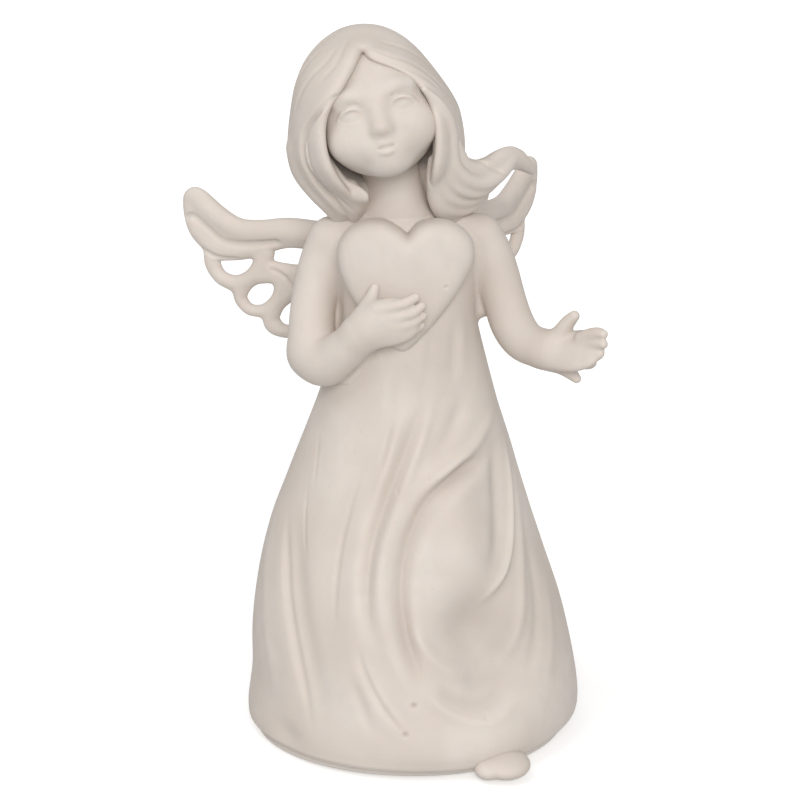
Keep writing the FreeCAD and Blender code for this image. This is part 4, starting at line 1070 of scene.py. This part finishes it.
r.tube([(-12.2, -18.8, 112.6, 2.0), (-10.8, -20.0, 115.8, 1.75), (-9.5, -20.8, 118.4, 1.45), (-8.7, -20.9, 120.6, 1.1)], k=1.2)
# the arm lies against the body at the back
r.tube([(-18.6, 3.0, 122.0, 3.4), (-19.2, 2.4, 114.0, 3.4), (-19.6, 0.8, 106.0, 3.2), (-19.4, -2.0, 101.0, 2.4)], k=1.5)
r.tube([(-9.6, 0.0, 131.6, 3.2), (-14.0, 0.4, 129.4, 4.2), (-18.6, 0.8, 126.8, 5.2)], k=2.0)
x, y, z = r.whole()
d2 = heart2d(x + 0 * y, z + 0 * y)
r.keep(np.maximum(-hh.sample(np.stack(np.broadcast_arrays(x, y, z), -1)) - 0.35, -5).astype(np.float32), 0.25)
weld_to_gown(r, 2.4)
hp, hf = r.mesh()
hp = relax(hp, hf, 1, 0.4)
build("right_arm", hp, hf, "right_arm", RESIN)

l = Field((-1.0, -31.0, 92.0), (51.0, 7.5, 136.5), 0.34)
l.tube([(17.2, 1.0, 127.6, 5.2), (19.2, 0.8, 123.4, 5.5), (21.2, 0.3, 118.0, 5.4), (23.0, -0.8, 111.8, 5.3), (24.9, -2.8, 106.4, 5.4), (27.4, -5.8, 103.2, 5.2), (30.6, -9.0, 102.2, 4.9), (34.0, -12.2, 102.3, 4.5)], k=1.0)
# open hand, palm up and towards the viewer
l.tube([(33.4, -11.8, 102.2, 3.8, 4.6), (36.8, -14.8, 102.8, 3.0, 5.4), (40.0, -17.6, 103.8, 2.4, 5.8), (42.2, -19.4, 104.6, 2.0, 5.4)], k=2.4, u=(0.1, -0.75, 0.66))
FING_L = [
    [(41.0, -18.2, 107.2, 1.6), (43.0, -19.8, 108.5, 1.6), (44.8, -21.6, 109.4, 1.5), (46.0, -23.2, 109.7, 1.15)],
    [(40.8, -17.8, 105.6, 1.8), (43.2, -20.2, 106.5, 1.65), (45.0, -22.4, 107.0, 1.5), (46.0, -23.8, 107.4, 1.15)],
    [(40.6, -17.8, 103.2, 1.8), (42.8, -20.0, 103.9, 1.65), (44.5, -22.0, 104.4, 1.5), (45.3, -23.2, 104.8, 1.1)],
    [(39.2, -16.4, 100.6, 1.8), (41.2, -18.4, 101.1, 1.65), (42.8, -20.2, 101.5, 1.5), (43.6, -21.4, 101.9, 1.1)]]
for rows in FING_L:
    l.tube(rows, k=0.7)
l.tube([(34.4, -12.2, 100.6, 2.6), (36.8, -14.0, 98.9, 2.1), (38.8, -15.4, 97.5, 1.6), (40.2, -16.4, 96.4, 1.15)], k=1.8)
l.tube([(34.2, -12.6, 104.4, 2.3), (36.2, -14.0, 107.4, 2.0), (38.0, -14.8, 110.2, 1.75), (39.4, -15.6, 112.0, 1.35)], k=1.8)
l.tube([(16.6, 3.0, 122.0, 3.0), (17.2, 2.6, 115.0, 2.8), (17.6, 1.6, 109.0, 2.2)], k=1.5)
l.tube([(3.4, 0.0, 132.0, 3.2), (9.6, 0.6, 130.4, 4.2), (16.4, 1.0, 127.6, 4.8)], k=2.0)
weld_to_gown(l, 2.4)
hp, hf = l.mesh()
hp = relax(hp, hf, 1, 0.4)
build("left_arm", hp, hf, "left_arm", RESIN)

# ---- wings ------------------------------------------------------------------------------------
OUTLINE = [(2.0, 8.2), (10.0, 9.4), (19.6, 9.6), (29.1, 10.2), (36.7, 9.3), (42.7, 9.4), (47.5, 12.2), (52.1, 16.2), (55.4, 17.1), (57.9, 15.1), (58.1, 11.7), (57.3, 7.8), (55.7, 4.2), (53.0, 1.0),
           (52.2, -3.2), (49.3, -7.3), (45.4, -9.6), (43.8, -12.8), (40.9, -15.3), (37.2, -16.2), (35.9, -18.8), (33.5, -20.5), (29.4, -21.0), (25.6, -20.2), (22.4, -20.8), (17.8, -21.8), (12.4, -20.6), (7.0, -16.4), (2.0, -11.0)]
HOLES = [
    [(48.2, -2.0), (43.9, -1.4), (39.6, -0.9), (39.6, -2.6), (41.4, -4.6), (44.2, -5.8), (47.2, -4.6)],
    [(33.4, 1.4), (29.1, 2.4), (23.0, 2.2), (18.6, 1.6), (22.0, -0.8), (28.0, -1.8), (33.4, -1.2)],
    [(41.2, -11.2), (39.6, -8.7), (37.1, -7.3), (33.8, -7.2), (34.2, -10.3), (37.0, -12.9), (40.2, -13.2)],
    [(32.2, -16.2), (30.9, -13.6), (28.0, -11.3), (24.8, -10.4), (25.0, -14.6), (27.2, -17.4), (30.6, -17.8)],
    [(21.4, -14.6), (20.2, -10.6), (16.6, -8.6), (15.4, -12.0), (17.0, -15.8), (19.6, -17.0)]]
plate2d = Flat(OUTLINE, HOLES, h=0.2)
outer2d = Flat(OUTLINE, h=0.2)
SWEEP, LEAN = math.radians(35.0), math.tan(math.radians(3.0)) * math.cos(math.radians(35.0))
w = Field((-1.0, -23.5, -4.2), (60.0, 19.0, 4.2), 0.34)
x, y, z = w.whole()
pd = plate2d(x + 0 * y, y + 0 * x)
# web: thinner and pillowed between the feathers
half = 1.25 + 0.35 * np.clip(-pd, 0, 2.0)
w.f = (smax(pd[:, :, 0][:, :, None] + 0 * z, np.abs(z) - half[:, :, 0][:, :, None], 1.6)).astype(np.float32)
QUILLS = [
    [(2.0, 3.0, 4.2), (10.0, 5.0, 3.9), (17.0, 5.9, 3.3), (21.5, 6.4, 3.1), (26.4, 6.7, 3.2), (31.8, 6.7, 3.1), (36.7, 6.2, 2.9), (42.7, 6.5, 2.8), (47.4, 8.9, 2.7), (51.6, 12.0, 2.6), (54.2, 14.1, 2.3), (55.4, 14.8, 1.9)],
    [(56.2, 11.8, 1.5), (55.4, 7.9, 1.9), (53.0, 4.4, 2.1), (48.8, 1.6, 2.15), (43.5, 0.9, 2.1), (38.6, 2.0, 1.8), (34.0, 3.8, 1.3)],
    [(51.0, -0.6, 1.4), (50.2, -4.0, 1.6), (47.4, -6.8, 1.75), (43.6, -7.4, 1.8), (39.9, -5.8, 1.8), (37.2, -2.6, 1.8), (35.2, 0.6, 1.6)],
    [(43.4, -9.4, 1.1), (42.4, -12.4, 1.5), (39.8, -14.6, 1.55), (35.9, -14.2, 1.5), (32.9, -11.6, 1.5), (31.4, -8.4, 1.5), (33.2, -5.6, 1.5), (37.2, -5.4, 1.5)],
    [(35.4, -15.6, 1.2), (34.6, -18.0, 1.5), (32.4, -19.4, 1.6), (29.0, -19.6, 1.6), (25.6, -18.2, 1.5), (23.8, -14.6, 1.4), (24.0, -11.0, 1.4), (26.6, -8.6, 1.4), (30.6, -7.0, 1.4)],
    [(24.0, -19.4, 1.3), (19.0, -20.2, 1.6), (13.4, -18.6, 1.6), (10.6, -14.0, 1.6), (12.0, -8.6, 1.6), (18.0, -5.2, 1.6), (25.0, -4.4, 1.5), (31.0, -3.2, 1.4), (36.0, -2.6, 1.3)],
    [(2.0, -2.0, 4.0), (6.0, -6.0, 3.2), (10.0, -11.0, 2.2)],
    [(3.0, 0.0, 4.0), (9.0, 0.4, 3.0), (16.0, 0.6, 1.6)]]
for q in QUILLS:
    w.tube([(s, hh_, 0.0, rr) for s, hh_, rr in q], k=0.9)
for side in (-1, 1):
    for path, wd in (([(56.4, 9.6), (54.6, 9.9), (51.0, 7.0), (46.8, 3.9), (42.0, 3.2), (37.0, 3.6), (32.0, 4.2)], 0.75), ([(52.4, 1.2), (48.0, -0.6), (43.0, -0.9)], 0.4),
                     ([(33.4, -3.0), (30.2, -4.6), (27.6, -7.4)], 0.4)):
        zt = 2.1 if wd > 0.6 else 1.7
        w.tube([(s, hh_, side * zt, wd) for s, hh_ in path], k=0.8, cut=True)
w.keep((outer2d(x + 0 * y, y + 0 * x) - 0.3)[:, :, 0][:, :, None] + 0 * z, 0.6)
wp, wf = w.mesh()
wp = relax(wp, wf, 1, 0.4)
wp[:, 2] *= 0.84


def wing_to_frame(side):
    along = np.array([side * math.cos(SWEEP), math.sin(SWEEP), 0.0])
    normal = np.array([side * math.sin(SWEEP), -math.cos(SWEEP), 0.0])
    lean = side * LEAN

    def go(p):
        # part axes directly, in sculpt millimetres
        if side > 0:                       # the left wing is a little shorter at the tip
            far = np.clip((p[:, 0] - 14.0) / 16.0, 0, 1)
            p = np.stack([p[:, 0] * (1 - 0.06 * far), p[:, 1] - 1.7 * far, p[:, 2]], 1)
        q = np.array([side * 0.2, 10.9, 118.0]) + p[:, :1] * along + (p[:, 1:2] + lean * p[:, :1]) * np.array([0, 0, 1.0]) + p[:, 2:3] * normal
        return q * SCALE + BASE
    return go


build("right_wing", wp, wf, "right_wing", RESIN, mm_to_frame=wing_to_frame(-1))
build("left_wing", wp, wf, "left_wing", RESIN, mm_to_frame=wing_to_frame(1))

# ---- foot ---------------------------------------------------------------------------------------
f = Field((13.5, -45.5, 0.2), (32.0, -28.0, 9.5), 0.26)
f.blob((23.2, -36.4, 3.3), (6.2, 6.9, 3.1), k=1.0)
f.blob((18.9, -38.6, 3.0), (3.4, 4.0, 2.5), k=0.7)
f.tube([(21.0, -43.6, 4.9, 0.2), (21.7, -44.0, 3.2, 0.3), (22.4, -43.4, 1.2, 0.3)], k=0.7, cut=True)
x, y, z = f.whole()
f.keep((0.85 - z) + 0 * x + 0 * y, 0.3)
hp, hf = f.mesh()
build("left_foot", hp, hf, "left_foot", RESIN)

# ---- room, light, camera --------------------------------------------------------------------------
def shoot(v):
    """Working-axis millimetres to part-axis metres for the camera and lamps."""
    return Vector(place(np.array([v], float))[0])


bpy.ops.mesh.primitive_plane_add(size=6.0, location=(0, 0, float(BASE[2])))
floor = bpy.context.object
floor.name = "studio_floor"
fm, fnt, fb, fpos = fresh("studio_floor")
fb.inputs["Roughness"].default_value = 0.9
fb.inputs["Specular IOR Level"].default_value = 0.1
fnt.links.new(mix(fnt, ramp(fnt, noise(fnt, fpos, 9.0, 2.0), 0.4, 0.6, 0.0, 1.0), (0.95, 0.95, 0.95), (0.96, 0.96, 0.96)), fb.inputs["Base Color"])
fb.inputs["Emission Color"].default_value = (1.0, 1.0, 1.0, 1.0)
fb.inputs["Emission Strength"].default_value = 0.27
floor.data.materials.append(fm)
floor.visible_diffuse = False
floor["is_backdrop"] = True

world = bpy.data.worlds.new("soft_room")
bpy.context.scene.world = world
world.use_nodes = True
bg = world.node_tree.nodes["Background"]
bg.inputs["Color"].default_value = (1.0, 1.0, 1.0, 1.0)
bg.inputs["Strength"].default_value = 0.54
bpy.context.scene.view_settings.view_transform = "Standard"


def softbox(name, at, spread, power, colour=(1, 1, 1)):
    """A large soft source far off in one direction, given on the working axes."""
    d = bpy.data.lights.new(name, "SUN")
    d.angle = math.radians(spread)
    d.energy = power
    d.color = colour
    o = bpy.data.objects.new(name, d)
    bpy.context.scene.collection.objects.link(o)
    o.location = shoot(at)
    o.rotation_euler = (shoot((0, 0, 90)) - o.location).to_track_quat("-Z", "Y").to_euler()
    return o


softbox("key", (60, -720, 430), 26.0, 1.9, (1.0, 0.988, 0.974))
softbox("top", (-330, -200, 680), 40.0, 0.55, (0.985, 0.99, 1.0))

cam = bpy.data.cameras.new("camera")
cam.sensor_width = 36.0
cam.lens = 144.7
cam.clip_end = 20.0
co = bpy.data.objects.new("camera", cam)
bpy.context.scene.collection.objects.link(co)
co.location = shoot((-2.7, -760.8, 332.8))
co.rotation_euler = (shoot((-2.7, 0.0, 85.6)) - co.location).to_track_quat("-Z", "Y").to_euler()
bpy.context.scene.camera = co

SIZE = {"cad": [CAD_LO, CAD_HI], "visual": [list(v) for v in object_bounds()]}
print("size mm", [[round(c * 1000, 1) for c in v] for b in (SIZE["cad"], SIZE["visual"]) for v in b], "t %.1f" % (time.time() - T_START), flush=True)
